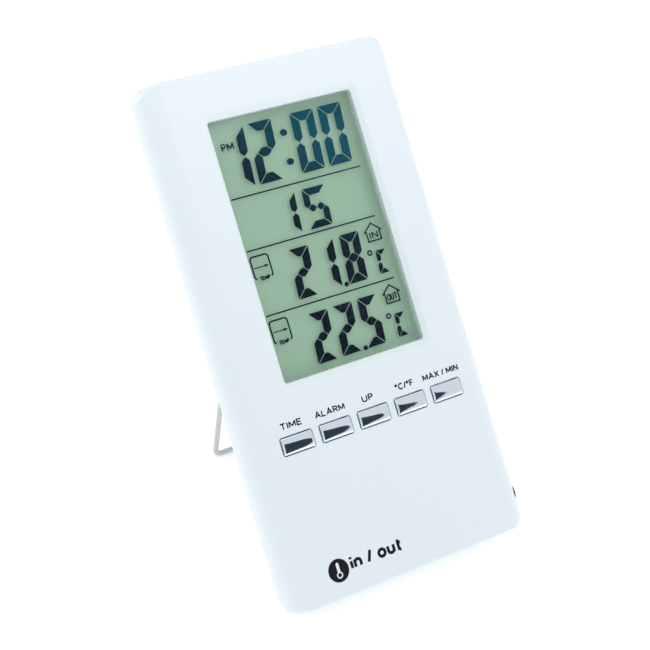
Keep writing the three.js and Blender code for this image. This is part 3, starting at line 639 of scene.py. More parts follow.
def front_shell():
    body = case_half(
        CASE_Z, HALF_WIDTH, FACE_HALF, SIDE_RISE, 0, FRONT_DEPTH, PLAN_CORNER, END_EDGE, CREASE
    )
    hollow = case_half(
        (WALL, HEIGHT - WALL), HALF_WIDTH - WALL, FACE_HALF, SIDE_RISE - WALL, WALL, FRONT_DEPTH + 1,
        PLAN_CORNER - WALL, 0.4,
    )
    root = WALL - ROOT
    collar = moulded(rectangle(*WINDOW, WINDOW_CORNER, WINDOW_AT), [(COLLAR, root), (COLLAR, COLLAR_BACK)])
    case_posts = posts(map(middle_of, CASE_SCREWS), CASE_POST, (root, FRONT_DEPTH))
    board_posts = posts(map(middle_of, BOARD_SCREWS), BOARD_POST, (root, BOARD_POST_END))
    pilots = posts(map(middle_of, CASE_SCREWS), CASE_PILOT, (2.9, 8))
    pilots += posts(map(middle_of, BOARD_SCREWS), BOARD_PILOT, (3.1, 8))
    holes = [
        moulded(rectangle(*BUTTON_HOLE, 0.5, middle_of(f"button_{name}")), mouth(0.14, 0, 3))
        for name in BUTTONS
    ]
    body = with_parts(without(body, [hollow]), [collar, *case_posts, *board_posts])
    return without(body, [window_cutter(), *holes, *pilots, socket_cutter()])


def socket_cutter():
    """Round seat of the probe socket, with an eased edge at the flank."""
    radius = length(SOCKET_Y) / 2 + GAP
    path = [(radius + grow, x) for grow, x in mouth(0.2, HALF_WIDTH, SOCKET_X[0] - GAP)]
    return turned(path, SOCKET_Y, SOCKET_Z, 48)


# ---- back cover ----
def cover_lip():
    """Lip that drops inside the front shell, cleared round the shell's screw posts."""
    clearance = WALL + GAP
    end, root = FRONT_DEPTH - LIP_DROP, FRONT_DEPTH + 0.7
    outline = rectangle(2 * HALF_WIDTH, HEIGHT, PLAN_CORNER, (0, HEIGHT / 2))
    lip = moulded(outline, [(-clearance - 0.15, end), (-clearance, end + 0.3), (-clearance, root)])
    opening = moulded(outline, [(-clearance - 1, end - 1), (-clearance - 1, root + 1)])
    clearings = posts(map(middle_of, CASE_SCREWS), CASE_POST + GAP, (end - 1, FRONT_DEPTH + GAP))
    return without(lip, [opening, *clearings])


def folded_foot_z():
    """Height of the stand's foot when it lies folded in the back."""
    hinge_y, hinge_z = stand_hinge()
    foot_y = STAND_Y[1] - WIRE_RADIUS
    foot_z = STAND_Z[0] + WIRE_RADIUS
    return hinge_z - math.hypot(foot_y - hinge_y, foot_z - hinge_z)


def stand_hinge():
    """Place of the stand's hinge in the unit: y and z in millimetres."""
    place = UNIT.inverted() @ Vector(JOINTS["stand_hinge"]["pos_m"])
    return place.y, place.z


def channel_cutters():
    """Channels for the folded stand: two legs, a foot and a notch for a fingernail."""
    _, hinge_z = stand_hinge()
    foot_z = folded_foot_z()
    path = mouth(0.3, BACK_Y, CHANNEL_FLOOR)
    leg_z = (foot_z - 1, hinge_z + CHANNEL_HALF)
    reach = STAND_HALF + CHANNEL_HALF
    cutters = [
        slab((x - CHANNEL_HALF, x + CHANNEL_HALF), leg_z, 0.5, path)
        for x in (-STAND_HALF, STAND_HALF)
    ]
    cutters.append(slab((-reach, reach), (foot_z - 1, foot_z + 1), 0.5, path))
    cutters.append(slab((-NOTCH_HALF, NOTCH_HALF), (foot_z - 0.6, foot_z + 4.5), 1.2, path))
    for side in (-1, 1):
        ends = sorted((side * (STAND_HALF - 0.5), side * (STAND_X[1] + GAP)))
        hole = moulded(circle(sides=20), [(WIRE_RADIUS + 0.2, end) for end in ends])
        cutters.append(along_x(hole, *stand_hinge()))
    return cutters


def channel_walls():
    """Walls behind the channels, with a lug at each end of the hinge."""
    _, hinge_z = stand_hinge()
    foot_z = folded_foot_z()
    skin = CHANNEL_HALF + CHANNEL_SKIN
    front, back = CHANNEL_FLOOR - CHANNEL_SKIN, COVER_INSIDE + ROOT
    walls = []
    for side in (-1, 1):
        x = side * STAND_HALF
        lug = sorted((x - side * skin, x + side * (skin + LUG_LENGTH)))
        walls.append(block((x - skin, x + skin), (front, back), (foot_z - CHANNEL_SKIN, hinge_z + skin)))
        walls.append(block(lug, (front - 0.1, back), (hinge_z - 2.4, hinge_z + 2.5)))
    reach = STAND_HALF + skin + 0.1
    notch = NOTCH_HALF + CHANNEL_SKIN
    walls.append(block((-reach, reach), (front + 0.1, back), (foot_z - 1.4, foot_z + 2.2)))
    walls.append(block((-notch, notch), (front + 0.2, back), (foot_z, foot_z + 5.8)))
    return walls


def battery_walls():
    top = DOOR_Z[1] + GAP
    partition = (DOOR_X[1] + GAP, DOOR_X[1] + 1.3)
    return [
        block((-24.6, partition[1]), (2.2, COVER_INSIDE + 0.3), (top + 0.2, top + 1.2)),
        block(partition, (2.3, COVER_INSIDE + 0.4), (1.7, top + 1)),
        block((-27, -25.8), (4.6, COVER_INSIDE + 0.2), DOOR_Z),
    ]


def vent_cutters():
    """Five sound slots in the middle and four air slots beside the indoor sensor."""
    sounder = middle(SOUNDER_Z)
    path = mouth(0.18, BACK_Y, COVER_INSIDE - 1)
    slots = []
    for row in range(-2, 3):
        z = sounder + row * 2.2
        slots.append(slab((-4.5, 4.5), (z - 0.45, z + 0.45), 0.4, path))
    for row in range(4):
        z = 36 + row * 3
        slots.append(slab((-22, -18.2), (z - 0.55, z + 0.55), 0.45, path))
    return slots


def table_cutter():
    """Everything under the table, which leaves the flat heel the unit rests on."""
    cutter = block((-40, 40), (-60, 60), (-20, 0))
    lean = math.atan2(UPWARD.y, UPWARD.z)
    heel = UNIT.inverted() @ Vector((0, 0, 0))
    level = Matrix.Translation((0, heel.y, heel.z)) @ Matrix.Rotation(lean, 4, "X")
    cutter.data.transform(level)
    return cutter


def back_cover():
    body = case_half(
        COVER_Z, COVER_HALF, BACK_HALF, BACK_Y - FRONT_DEPTH - GAP, BACK_Y, FRONT_DEPTH + GAP,
        COVER_CORNER, 0.6,
    )
    hollow = case_half(
        (COVER_Z[0] + COVER_WALL, COVER_Z[1] - COVER_WALL), COVER_HALF - COVER_WALL, BACK_HALF,
        COVER_INSIDE - FRONT_DEPTH - GAP, COVER_INSIDE, FRONT_DEPTH - 1, 0.9, 0.4,
    )
    screw_places = [middle_of(name) for name in CASE_SCREWS]
    ring = without(
        posts([(0, middle(SOUNDER_Z))], SOUNDER_RING[1], (RING_FRONT, COVER_INSIDE + 0.3))[0],
        posts([(0, middle(SOUNDER_Z))], SOUNDER_RING[0], (RING_FRONT - ROOT, COVER_INSIDE - 0.02)),
    )
    pad_path = softened([(0, COVER_INSIDE + 0.1), (0, PAD_Y, 0.25), (-3, PAD_Y)])[:-1]
    pad = moulded(rectangle(*PAD_SIZE, 4, (0, KEYHOLE_Z + PAD_RISE), steps=10), pad_path)
    bosses = posts(screw_places, BOSS, (FRONT_DEPTH + GAP, COVER_INSIDE + ROOT))
    shank_holes = posts(screw_places, CASE_PILOT, (FRONT_DEPTH, BACK_Y))
    wells = [
        moulded(circle(at), [(WELL + grow, depth) for grow, depth in mouth(0.35, BACK_Y, WELL_FLOOR)])
        for at in screw_places
    ]
    door_hole = moulded(
        box_outline((DOOR_X[0] - GAP, DOOR_X[1] + GAP), (DOOR_Z[0] - GAP, DOOR_Z[1] + GAP), 0.7),
        mouth(0.2, BACK_Y, COVER_INSIDE - 1),
    )
    body = without(body, [hollow])
    body = with_parts(body, [cover_lip(), *battery_walls(), *channel_walls(), ring, pad, *bosses])
    cutters = [*channel_cutters(), door_hole, *shank_holes, *wells, *vent_cutters()]
    cutters.append(moulded(keyhole, mouth(0.3, PAD_Y, COVER_INSIDE - 1)))
    cutters += [socket_cutter(), table_cutter()]
    return without(body, cutters)


def battery_door():
    """Door with soft edges, a thumb recess with two ridges and two hooks along its bottom."""
    front, back = DOOR_Y
    soft_edge = softened([(-0.2, front), (0, front + 0.2), (0, back, 0.25), (-2, back)])[:-1]
    panel = slab(DOOR_X, DOOR_Z, 0.6, soft_edge)
    thumb = box_outline((-THUMB_HALF, THUMB_HALF), (DOOR_Z[1] - 4, DOOR_Z[1] - 1), 1.2)
    recess = moulded(thumb, mouth(0.3, back, back - THUMB_SINK))
    ridge_top = softened([(0, back - 0.8), (0, back - 0.1, 0.12), (-0.2, back - 0.1)])[:-1]
    ridges = []
    for z in (DOOR_Z[1] - 3.15, DOOR_Z[1] - 1.9):
        ridges.append(slab((-3.6, 3.6), (z - 0.22, z + 0.22), 0.2, ridge_top))
    near, far = HOOK_FRONT, HOOK_FRONT + HOOK_THICK
    tongue_path = [(-HOOK_EASE, near), (0, near + HOOK_EASE), (0, far - HOOK_EASE), (-HOOK_EASE, far)]
    tongue_z = (HOOK_BOTTOM, DOOR_Z[0] + HOOK_RISE)
    neck_z = (DOOR_Z[0] + HOOK_EASE, tongue_z[1] - HOOK_EASE)
    neck_half = HOOK_HALF - 0.2
    hooks = []
    for x in HOOK_X:
        hooks.append(slab((x - HOOK_HALF, x + HOOK_HALF), tongue_z, 0.2, tongue_path))
        hooks.append(block((x - neck_half, x + neck_half), (near + 0.2, front + 0.2), neck_z))
    return with_parts(without(panel, [recess]), [*ridges, *hooks])


# ---- buttons ----
def button(name):
    """Chrome cap, crowned across its height and eased at its ends, on its flange and stem."""
    x_mid, z_mid = middle_of(f"button_{name}")
    front = unit_box(f"button_{name}")[1][0]
    half_x, half_z = BUTTON_CAP[0] / 2, BUTTON_CAP[1] / 2
    columns = [-1, -0.97, -0.88, -0.5, 0, 0.5, 0.88, 0.97, 1]
    rows = [-1, -0.94, -0.78, -0.4, 0, 0.4, 0.78, 0.94, 1]
    rise_z, rise_x = 0.38, 0.1  # crown across the cap's height and along its width
    edge = front + 0.42
    builder = bmesh.new()
    grid = []
    for row in rows:
        line = []
        for column in columns:
            crown = (1 - row**2) * rise_z + (1 - column**4) * rise_x
            depth = edge - crown if max(abs(row), abs(column)) < 1 else edge + 0.05
            line.append(builder.verts.new((x_mid + column * half_x, depth, z_mid + row * half_z)))
        grid.append(line)
    for low, high in zip(grid, grid[1:]):
        for here in range(len(columns) - 1):
            builder.faces.new((low[here], low[here + 1], high[here + 1], high[here]))
    right_side = [line[-1] for line in grid[1:-1]]
    left_side = [line[0] for line in grid[-2:0:-1]]
    rim = grid[0] + right_side + grid[-1][::-1] + left_side
    for depth in (edge + 0.3, FLANGE_Y[0], FLANGE_Y[0] + 0.1):
        ring = [builder.verts.new((vertex.co.x, depth, vertex.co.z)) for vertex in rim]
        for here in range(len(rim)):
            after = (here + 1) % len(rim)
            builder.faces.new((rim[here], rim[after], ring[after], ring[here]))
        rim = ring
    builder.faces.new(rim)
    cap = object_of(builder)
    cap.modifiers.new("round", "SUBSURF").levels = 2
    near, far = FLANGE_Y
    flange_path = [(-0.1, near), (0, near + 0.1), (0, far - 0.1), (-0.1, far)]
    flange = moulded(rectangle(*BUTTON_FLANGE, 0.6, (x_mid, z_mid)), flange_path)
    stem_path = [(0, far - 0.2), (0, STEM_BACK - 0.1), (-0.1, STEM_BACK)]
    stem = moulded(rectangle(*BUTTON_STEM, 0.2, (x_mid, z_mid)), stem_path)
    return merged([applied(cap), flange, stem])


# ---- display ----
GLASS_BACK = CELL_Y[0] + 0.3
INK_Y = GLASS_BACK + 0.03
PANEL_FRONT = CELL_Y[0] + 1.15


def window_lens():
    """Clear block that fills the opening, on a flange behind the collar."""
    outline = rectangle(*WINDOW, 0.5, WINDOW_AT)
    front = softened([(-3, LENS_Y[0]), (-0.18, LENS_Y[0], 0.12), (-0.18, 2.9)])[1:]
    flange = moulded(outline, [(COLLAR, COLLAR_BACK + 0.15), (COLLAR, LENS_Y[1])])
    return with_parts(moulded(outline, front), [flange])


def display_glass():
    front = CELL_Y[0]
    return slab(CELL_X, CELL_Z, 0.1, [(-0.1, front), (0, front + 0.1), (0, GLASS_BACK)])


def display_panel():
    return slab(CELL_X, CELL_Z, 0.1, [(0, PANEL_FRONT), (0, CELL_Y[1])])


def leaned(points, slant, base):
    """Points in x and z, sheared to the right above a base height."""
    return [(x + slant * (z - base), z) for x, z in points]


def segments(width, height, thick, gap):
    """The bars of a digit as polygons, from its lower left corner: g whole, h and i its halves."""
    under = height - thick
    top_bar = [(gap, height), (width - gap, height), (width - thick - gap, under), (thick + gap, under)]
    centre = height / 2
    half = thick / 2
    upper_right = [
        (width, height - gap),
        (width, centre + half),
        (width - half, centre + gap * 0.7),
        (width - thick, centre + half),
        (width - thick, under - gap),
    ]

    def lozenge(left, right):
        """Bar that runs to a point at both ends, with its other corners cut."""
        slope = min(0.55 * thick, 0.36 * (right - left))
        quarter = [(0, 0), (0.85 * slope, 0.85 * half), (1.3 * slope, half)]
        upper = [(left + x, centre + z) for x, z in quarter]
        upper += [(right - x, centre + z) for x, z in reversed(quarter)]
        return upper + [(x, 2 * centre - z) for x, z in reversed(upper[1:-1])]

    def flipped(points, over_x, over_z):
        return [(width - x if over_x else x, height - z if over_z else z) for x, z in points]

    return {
        "a": top_bar,
        "b": upper_right,
        "c": flipped(upper_right, False, True),
        "d": flipped(top_bar, False, True),
        "e": flipped(upper_right, True, True),
        "f": flipped(upper_right, True, False),
        "g": lozenge(half + gap, width - half - gap),
        "h": lozenge(half + gap, (width - gap) / 2),
        "i": lozenge((width + gap) / 2, width - half - gap),
    }


LIT = {
    "0": "abcdef",
    "1": "bc",
    "2": "abged",
    "5": "afgcd",
    "5 split": "afhicd",
    "8": "abcdefg",
    "C": "afed",
}
SLANT = 0.08


def digit(sign, right, base, width, height, thick, gap=0.14):
    """Polygons of one digit, placed by the right end of its top and by its base line."""
    left = right - SLANT * height - width
    bars = segments(width, height, thick, gap)
    placed = []
    for bar in LIT[sign]:
        points = [(left + x, base + z) for x, z in bars[bar]]
        placed.append(leaned(points, SLANT, base))
    return placed


def stroke(points, width, closed=False):
    """Line of even width through points, as one polygon per stretch, with mitred joints."""
    count = len(points)
    sides = []
    for index, point in enumerate(points):
        here = Vector(point)
        before = Vector(points[index - 1]) if closed or index else None
        after = Vector(points[(index + 1) % count]) if closed or index < count - 1 else None
        back = (here - before).normalized() if before else (after - here).normalized()
        ahead = (after - here).normalized() if after else back
        normal = Vector((-(back + ahead).y, (back + ahead).x)).normalized()
        reach = width / 2 / max(normal.dot(Vector((-ahead.y, ahead.x))), 0.4)
        sides.append((here + normal * reach, here - normal * reach))
    pairs = list(zip(sides, sides[1:] + (sides[:1] if closed else [])))
    return [[near[0], far[0], far[1], near[1]] for near, far in pairs]


def arc(centre, radii, start, end, steps=10):
    """Points along part of an ellipse, between two angles in degrees."""
    angles = [math.radians(start + (end - start) * step / steps) for step in range(steps + 1)]
    return [
        (centre[0] + radii[0] * math.cos(angle), centre[1] + radii[1] * math.sin(angle))
        for angle in angles
    ]


LETTER_GAP = 0.3
# Width of each letter and the lines it is drawn with, for a letter one unit high.
LETTERS = {
    " ": (0.05, []),
    "/": (0.3, [[(0, 0), (0.3, 1)]]),
    "°": (0.26, [arc((0.1, 0.86), (0.15, 0.15), 0, 360)]),
    "A": (0.8, [[(0, 0), (0.4, 1), (0.8, 0)], [(0.12, 0.32), (0.68, 0.32)]]),
    "C": (0.72, [arc((0.42, 0.5), (0.42, 0.5), 45, 315, 14)]),
    "E": (0.6, [[(0.6, 0), (0, 0), (0, 1), (0.6, 1)], [(0, 0.52), (0.55, 0.52)]]),
    "F": (0.55, [[(0, 0), (0, 1), (0.55, 1)], [(0, 0.52), (0.48, 0.52)]]),
    "I": (0, [[(0, 0), (0, 1)]]),
    "L": (0.52, [[(0, 1), (0, 0), (0.52, 0)]]),
    "M": (0.84, [
        [(0, 0), (0, 1)], [(0, 1), (0.42, 0.15)],
        [(0.42, 0.15), (0.84, 1)], [(0.84, 1), (0.84, 0)],
    ]),
    "N": (0.68, [[(0, 0), (0, 1)], [(0, 1), (0.68, 0)], [(0.68, 0), (0.68, 1)]]),
    "O": (0.84, [arc((0.42, 0.5), (0.42, 0.5), 0, 380, 20)]),
    "P": (0.58, [[(0, 0), (0, 1), *arc((0.3, 0.74), (0.28, 0.26), 90, -90), (0, 0.48)]]),
    "R": (0.62, [
        [(0, 0), (0, 1), *arc((0.32, 0.75), (0.28, 0.25), 90, -90), (0, 0.5)],
        [(0.32, 0.5), (0.64, 0)],
    ]),
    "T": (0.7, [[(0, 1), (0.7, 1)], [(0.35, 0), (0.35, 1)]]),
    "U": (0.66, [[(0, 1), *arc((0.33, 0.33), (0.33, 0.33), 180, 360), (0.66, 1)]]),
    "X": (0.72, [[(0, 0), (0.72, 1)], [(0, 1), (0.72, 0)]]),
    "i": (0, [[(0, 0), (0, 0.66)], [(0, 0.84), (0, 1.04)]]),
    "n": (0.48, [[(0, 0), (0, 0.68)], [*arc((0.24, 0.4), (0.24, 0.26), 180, 0), (0.48, 0)]]),
    "o": (0.54, [arc((0.27, 0.33), (0.27, 0.33), 0, 380, 20)]),
    "t": (0.34, [[(0.12, 0.95), *arc((0.3, 0.16), (0.18, 0.16), 180, 270)], [(0, 0.66), (0.34, 0.66)]]),
    "u": (0.48, [[(0, 0.68), *arc((0.24, 0.26), (0.24, 0.26), 180, 360)], [(0.48, 0.68), (0.48, 0)]]),
}


def word(text, centre, width, height, weight):
    """Polygons of a word in plain line letters that fill a width and a height."""
    lines = []
    along = 0
    for sign in text:
        letter_width, strokes = LETTERS[sign]
        lines += [[(along + x, z) for x, z in line] for line in strokes]
        along += letter_width + LETTER_GAP
    total = along - LETTER_GAP
    shapes = []
    for line in lines:
        across = [centre[0] + (x / total - 0.5) * (width - weight) for x, _ in line]
        upwards = [centre[1] + (z - 0.5) * (height - weight) for _, z in line]
        shapes += stroke(list(zip(across, upwards)), weight)
    return shapes


def anticlockwise(polygon):
    """Points of a convex polygon, in order round its middle."""
    middle_x = sum(x for x, _ in polygon) / len(polygon)
    middle_z = sum(z for _, z in polygon) / len(polygon)
    return sorted(polygon, key=lambda point: math.atan2(point[1] - middle_z, point[0] - middle_x))


def printed(polygons, front, thick):
    """Raised ink: the union of convex polygons, given a thickness behind a depth y."""
    points = []
    outlines = []
    for polygon in polygons:
        outlines.append(list(range(len(points), len(points) + len(polygon))))
        points += [Vector(point) for point in anticlockwise(polygon)]
    corners, _, triangles, _, _, sources = delaunay_2d_cdt(points, [], outlines, 0, 1e-3)
    builder = bmesh.new()
    placed = [builder.verts.new((x, front, z)) for x, z in corners]
    for triangle, source in zip(triangles, sources):
        if source:
            builder.faces.new([placed[corner] for corner in triangle])
    made = bmesh.ops.extrude_face_region(builder, geom=builder.faces[:])
    moved = [item for item in made["geom"] if isinstance(item, bmesh.types.BMVert)]
    bmesh.ops.translate(builder, verts=moved, vec=(0, thick, 0))
    return object_of(builder)


ICON_LINE = 0.33


def house(left, right, floor, eaves, apex):
    """Outline of a house: walls, floor and a roof that overhangs them."""
    inset = 0.13 * (right - left)
    west, east, top = left + inset, right - inset, eaves + 0.1
    walls = [(west, top), (west, floor), (east, floor), (east, top)]
    roof = [(left, eaves - 0.15), ((left + right) / 2, apex), (right, eaves - 0.15)]
    return stroke(walls, ICON_LINE) + stroke(roof, ICON_LINE)


def temperature_mark(left, right, floor, top):
    """Rounded square, open at its lower edge for a word, with an arrow across it."""
    corner = 0.65
    outline = [
        *arc((left + corner, floor + corner), (corner, corner), 250, 180),
        *arc((left + corner, top - corner), (corner, corner), 180, 90),
        *arc((right - corner, top - corner), (corner, corner), 90, 0),
        *arc((right - corner, floor + corner), (corner, corner), 0, -70),
    ]
    centre = (floor + top) / 2
    tip = right - 0.3
    arrow = stroke([(left + 0.35, centre), (tip - 0.5, centre)], 0.22)
    arrow.append([(tip - 1.0, centre + 0.32), (tip, centre), (tip - 1.0, centre - 0.32)])
    return stroke(outline, ICON_LINE) + arrow


# Rows of digits: base line, digit width and height, bar, then each sign and the right end of its top.
DIGIT_ROWS = [
    (85.4, 5.6, 12.7, 1.95, [("1", -8.5), ("2", -1.85), ("0", 8.4), ("0", 15.2)]),
    (73.7, 5.6, 8.5, 1.5, [("1", -1.45), ("5 split", 5.95)]),
    (60.5, 4.7, 10.4, 1.82, [("2", -1.95), ("1", 4.1), ("8", 10.5)]),
    (46.6, 4.7, 10.5, 1.82, [("2", -1.85), ("2", 4.15), ("5", 10.25)]),
]
COLON = [(0.25, 94.6), (-0.15, 88.45)]
DIVIDERS = [83.85, 72.9, 59.2]
INK_DEPTH = 0.04


def display_marks():
    """Everything the display shows: time, day and the two temperatures with their signs."""
    shapes = [disc(at, 0.85, 0.72) for at in COLON]
    for base, width, height, thick, signs in DIGIT_ROWS:
        for sign, right in signs:
            shapes += digit(sign, right, base, width, height, thick)
    shapes += word("PM", (-13.2, 94.5), 2.9, 1.6, 0.32)
    for base in (60.6, 46.7):
        decimal_point = disc((4.3, base + 0.15), 0.55, 0.5)
        degree_ring = disc((11.8, base + 5), 0.46, 0.46)
        shapes.append(decimal_point)
        shapes += digit("C", 15.75, base + 0.1, 2.5, 5, 1.0, 0.1)
        shapes += stroke(degree_ring, 0.34, closed=True)
    for z in DIVIDERS:
        shapes += stroke([(-15.85, z), (15.7, z)], 0.3)
    for top, text in ((71.6, "IN"), (58, "OUT")):
        shapes += house(11.8, 16.2, top - 3.75, top - 1.7, top)
        shapes += word(text, (14, top - 2.55), 1.0 + 0.55 * len(text), 1.55, 0.29)
        shapes += temperature_mark(-15.7, -11.5, top - 4.7, top - 0.05)
        shapes += word("TEMP", (-13.5, top - 4.75), 2.5, 0.95, 0.25)
    return printed(shapes, INK_Y, INK_DEPTH)


# ---- printing on the face ----
LABELS = {
    "time": ("TIME", 5.1),
    "alarm": ("ALARM", 7.25),
    "up": ("UP", 2.8),
    "unit": ("°C/°F", 4.6),
    "max_min": ("MAX / MIN", 9.2),
}
LABEL_SHIFT = -0.35
LABEL_Z = 37.1
LABEL_HEIGHT = 1.42
PRINT_FRONT = -0.02
PRINT_THICK = 0.03


def label(name):
    text, width = LABELS[name]
    x, _ = middle_of(f"button_{name}")
    shapes = word(text, (x + LABEL_SHIFT, LABEL_Z), width, LABEL_HEIGHT, 0.28)
    return printed(shapes, PRINT_FRONT, PRINT_THICK)


def maker_mark():
    """Generic mark: a disc with a thermometer cut out of it, and the words in/out."""
    x, z = -18.1, 5.9
    badge_radius, stem, bulb, fill = 2.4, 0.34, 0.72, 0.42
    foot = (x, z - 0.95)
    badge = moulded(circle((x, z), 48), [(badge_radius, 0), (badge_radius, 1)])
    tube = moulded(rectangle(2 * stem, 2.6, stem, (x, z + 0.35)), [(0, -1), (0, 2)])
    ball = moulded(circle(foot, 24), [(bulb, -1), (bulb, 2)])
    badge = without(badge, [with_parts(tube, [ball])])
    drop = moulded(circle(foot, 20), [(fill, 0), (fill, 1)])
    mark = merged([badge, drop])
    for vertex in mark.data.vertices:
        vertex.co.y = PRINT_FRONT + PRINT_THICK * vertex.co.y
    words = printed(word("in / out", (-8.8, 6.4), 12.8, 2.9, 0.66), PRINT_FRONT, PRINT_THICK)
    return merged([mark, words])


# ---- stand, screws, socket and battery ----
def swept(path, normal, radius, sides=18):
    """Round wire along a flat path whose plane has the given normal, with eased ends."""
    rings = []
    last = len(path) - 1
    for index, point in enumerate(path):
        ahead = (path[min(index + 1, last)] - path[max(index - 1, 0)]).normalized()
        across = ahead.cross(normal)
        size = radius * (0.75 if index in (0, last) else 1)
        ring = []
        for side in range(sides):
            angle = 2 * math.pi * side / sides
            ring.append(point + size * (math.cos(angle) * normal + math.sin(angle) * across))
        rings.append(ring)
    return loft(rings)


def wire_stand():
    """Bent wire: ends turned out into the cover, two legs and a foot, with real bend radii."""
    hinge_y, hinge_z = stand_hinge()
    foot = Vector((STAND_Y[1] - WIRE_RADIUS - hinge_y, STAND_Z[0] + WIRE_RADIUS - hinge_z))
    reach = foot.length
    down = Vector((0, foot.x, foot.y)) / reach
    normal = Vector((1, 0, 0)).cross(down)
    end = STAND_X[1]
    flat = softened([
        (-end, 0), (-end + 0.15, 0), (-STAND_HALF, 0, 0.9), (-STAND_HALF, reach, 1.5),
        (STAND_HALF, reach, 1.5), (STAND_HALF, 0, 0.9), (end - 0.15, 0), (end, 0),
    ], steps=8)
    start = Vector((0, hinge_y, hinge_z))
    return swept([start + Vector((x, 0, 0)) + down * along for x, along in flat], normal, WIRE_RADIUS)


def case_screw(name):
    """Pan-head screw with a tapered cross recess."""
    at = middle_of(name)
    tip, back = unit_box(name)[1]
    shank, head = 1.1, 2.1
    seat = back - 1.5
    path = softened([
        (0.25, tip), (0.9, tip + 0.8), (shank, tip + 1.2), (shank, seat), (head - 0.1, seat),
        (head, seat + 0.15), (head, seat + 0.6), (head * 0.72, back - 0.12, 0.9), (0.3, back),
    ])
    body = moulded(circle(at, 40), path)
    recess = []
    for width, height in ((2.5, 0.55), (0.55, 2.5)):
        outline = rectangle(width, height, 0.05, at, steps=1)
        recess.append(moulded(outline, [(0.05, back + 0.5), (0, back), (-0.2, back - 0.75)]))
    return without(body, [with_parts(recess[0], recess[1:])])


def probe_socket():
    radius = length(SOCKET_Y) / 2
    bore, floor_x = 1.3, SOCKET_X[0] + 1.2
    path = softened([
        (0.3, SOCKET_X[0]), (radius - 0.2, SOCKET_X[0]), (radius, SOCKET_X[0] + 0.2),
        (radius, SOCKET_X[1], 0.2), (bore + 0.3, SOCKET_X[1]), (bore, SOCKET_X[1] - 0.3),
        (bore, floor_x), (0.3, floor_x),
    ])
    return turned(path, SOCKET_Y, SOCKET_Z)


def socket_contact():
    """Sprung metal sleeve inside the socket's bore."""
    inner, outer = SOCKET_X[0] + 1.4, SOCKET_X[1] - 1.2
    path = [(1.2, inner), (1.2, outer), (1.05, outer), (1.0, outer - 0.4)]
    path += [(1.0, inner + 0.2), (0.2, inner + 0.2)]
    return turned(path, SOCKET_Y, SOCKET_Z, 28)


def battery():
    """Sleeved cell with rolled ends, a stepped nub and a flat negative end."""
    radius = length(BATTERY_Y) / 2
    left, right = BATTERY_X
    path = softened([
        (0.3, left), (1.7, left, 0.3), (1.9, left + 0.9), (3.6, left + 0.9), (3.8, left + 0.75),
        (4.5, left + 0.75, 0.3), (radius, left + 1.1, 0.4), (radius, right - 0.3, 0.5),
        (4.2, right, 0.2), (4, right - 0.15), (0.3, right - 0.15),
    ])
    return turned(path, BATTERY_Y, BATTERY_Z, 56)


# ---- pieces ----
piece(front_shell(), "front_case", "case", "case_white", ["front_shell"])
piece(back_cover(), "rear_case", "case", "cover_white", ["back_cover"])
piece(battery_door(), "battery_lid", "battery_door", "cover_white", ["battery_door"])
piece(window_lens(), "display_window", "case", "clear_window", ["window_lens"], 5)
piece(display_panel(), "display_backing", "case", "display_grey_with_painted_glow", ["display_cell"])
piece(display_glass(), "display_front_glass", "case", "display_glass")
piece(display_marks(), "display_segments", "case", "display_segments")
for name in BUTTONS:
    node = f"button_{name}"
    piece(button(name), f"{node}_cap", node, "button_chrome", [node], 50)
    piece(label(name), f"label_{name}", "case", "printed_ink")
piece(maker_mark(), "printed_mark", "case", "printed_ink")
piece(wire_stand(), "bent_stand", "wire_stand", "stand_wire", ["wire_stand"])
for name in CASE_SCREWS:
    piece(case_screw(name), f"{name}_detailed", "case", "bare_metal", [name])
piece(probe_socket(), "socket_body", "case", "socket_black", ["probe_socket"])
piece(socket_contact(), "socket_contact", "case", "bare_metal")
piece(battery(), "battery_cell", "case", "battery_sleeve", ["battery"])

# ---- floor, light and camera ----
scene = bpy.context.scene
scene.view_settings.view_transform = "Standard"
scene.view_settings.look = "None"


def floor():
    size = 6
    data = bpy.data.meshes.new("floor")
    data.from_pydata(
        [(-size, -size, 0), (size, -size, 0), (size, size, 0), (-size, size, 0)], [], [(0, 1, 2, 3)]
    )
    finish = Finish(
        "floor", (0.7, 0.7, 0.7), 0.8,
        Specular_IOR_Level=0.1, Emission_Color=(1, 1, 1, 1), Emission_Strength=0.45,
    )
    data.materials.append(finish.material)
    linked("floor", data)


def aimed(made, place, target, forward):
    """Sets an object down and turns one of its axes towards a target."""
    made.location = place
    made.rotation_euler = (Vector(target) - Vector(place)).to_track_quat(forward, "Y").to_euler()
    return made


def soft_light(name, place, target, size, power, color=(1, 1, 1)):
    data = bpy.data.lights.new(name, "AREA")
    data.shape = "RECTANGLE"
    data.size, data.size_y = size
    data.energy = power
    data.color = color
    return aimed(linked(name, data), place, target, "-Z")


def dark_card(place, target, half_size):
    """Dark oval studio panel that only mirror-like surfaces see."""
    data = bpy.data.meshes.new("dark_card")
    rim = [(x, y, 0) for x, y in disc((0, 0), *half_size, sides=48)]
    data.from_pydata(rim, [], [tuple(range(len(rim)))])
    data.materials.append(Finish("dark_card", (0.01, 0.02, 0.035), 0.9).material)
    made = aimed(linked("dark_card", data), place, target, "Z")
    for ray in ("camera", "diffuse", "shadow", "transmission"):
        setattr(made, f"visible_{ray}", False)


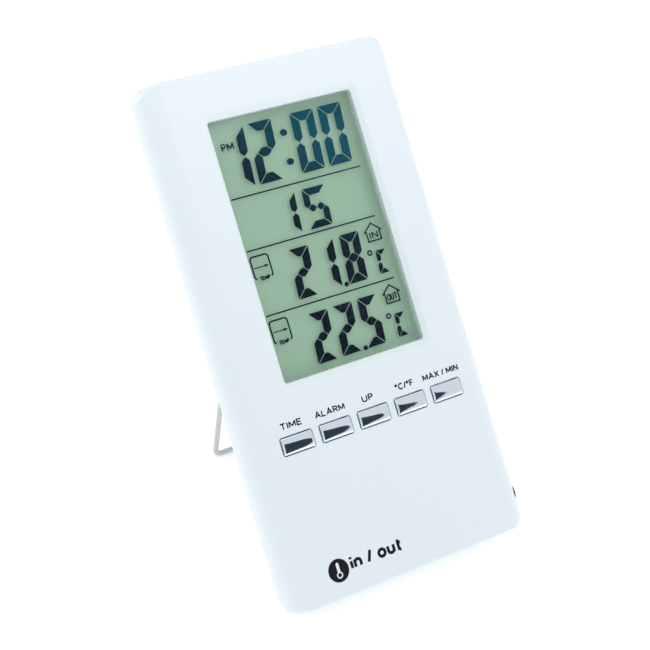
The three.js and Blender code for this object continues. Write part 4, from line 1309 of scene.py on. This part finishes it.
def studio_world():
    """Even pale surroundings; the backdrop the camera sees is white."""
    world = bpy.data.worlds.new("studio")
    world.use_nodes = True
    tree = world.node_tree
    backdrop = tree.nodes["Background"]
    backdrop.inputs["Color"].default_value = (1, 1, 1, 1)
    backdrop.inputs["Strength"].default_value = 1.0
    pale = {"Color": (0.97, 0.985, 1, 1), "Strength": 0.78}
    surroundings = wired(tree, "ShaderNodeBackground", pale)
    seen = wired(tree, "ShaderNodeLightPath", {}, "Is Camera Ray")
    shaders = {0: seen, 1: surroundings, 2: backdrop.outputs["Background"]}
    mixed = wired(tree, "ShaderNodeMixShader", shaders)
    tree.links.new(mixed, tree.nodes["World Output"].inputs["Surface"])
    scene.world = world


floor()
studio_world()
AIM = (0, 0, 0.045)
key_light = soft_light("key_light", (0.63, -0.72, 1.18), AIM, (0.55, 0.55), 5.0)
key_light.visible_glossy = False
soft_light("top_softbox", (0.1, 0.4, 1.0), AIM, (0.8, 0.8), 1.2)
soft_light("left_softbox", (-1.0, 0.8, 0.35), AIM, (0.8, 0.8), 6.6)
soft_light("low_softbox", (-0.2, -1.2, 0.15), AIM, (0.8, 0.3), 2.0).visible_glossy = False
crown_light = soft_light("crown_light", (0, 0.01, 0.175), AIM, (0.12, 0.04), 0.019, (1, 0.985, 0.95))
crown_light.visible_glossy = False
crown_light.visible_camera = False
dark_card((0.17, -0.54, 0.26), AIM, (0.164, 0.27))

CAMERA_AT = (-167.5, -303.1, 64.4)  # in the unit's frame, in millimetres
CAMERA_TO = (-4.96, 0, 54.07)
CAMERA_ROLL = math.radians(3.5)
camera_data = bpy.data.cameras.new("camera")
camera_data.sensor_width = 36
camera_data.lens = 93
camera_data.clip_start = 0.01
camera = linked("camera", camera_data)
eye = UNIT @ Vector(CAMERA_AT)
gaze = (UNIT @ Vector(CAMERA_TO) - eye).normalized()
level = gaze.to_track_quat("-Z", "Y").to_matrix().to_4x4()
camera.matrix_world = Matrix.Translation(eye) @ level @ Matrix.Rotation(CAMERA_ROLL, 4, "Z")
scene.camera = camera
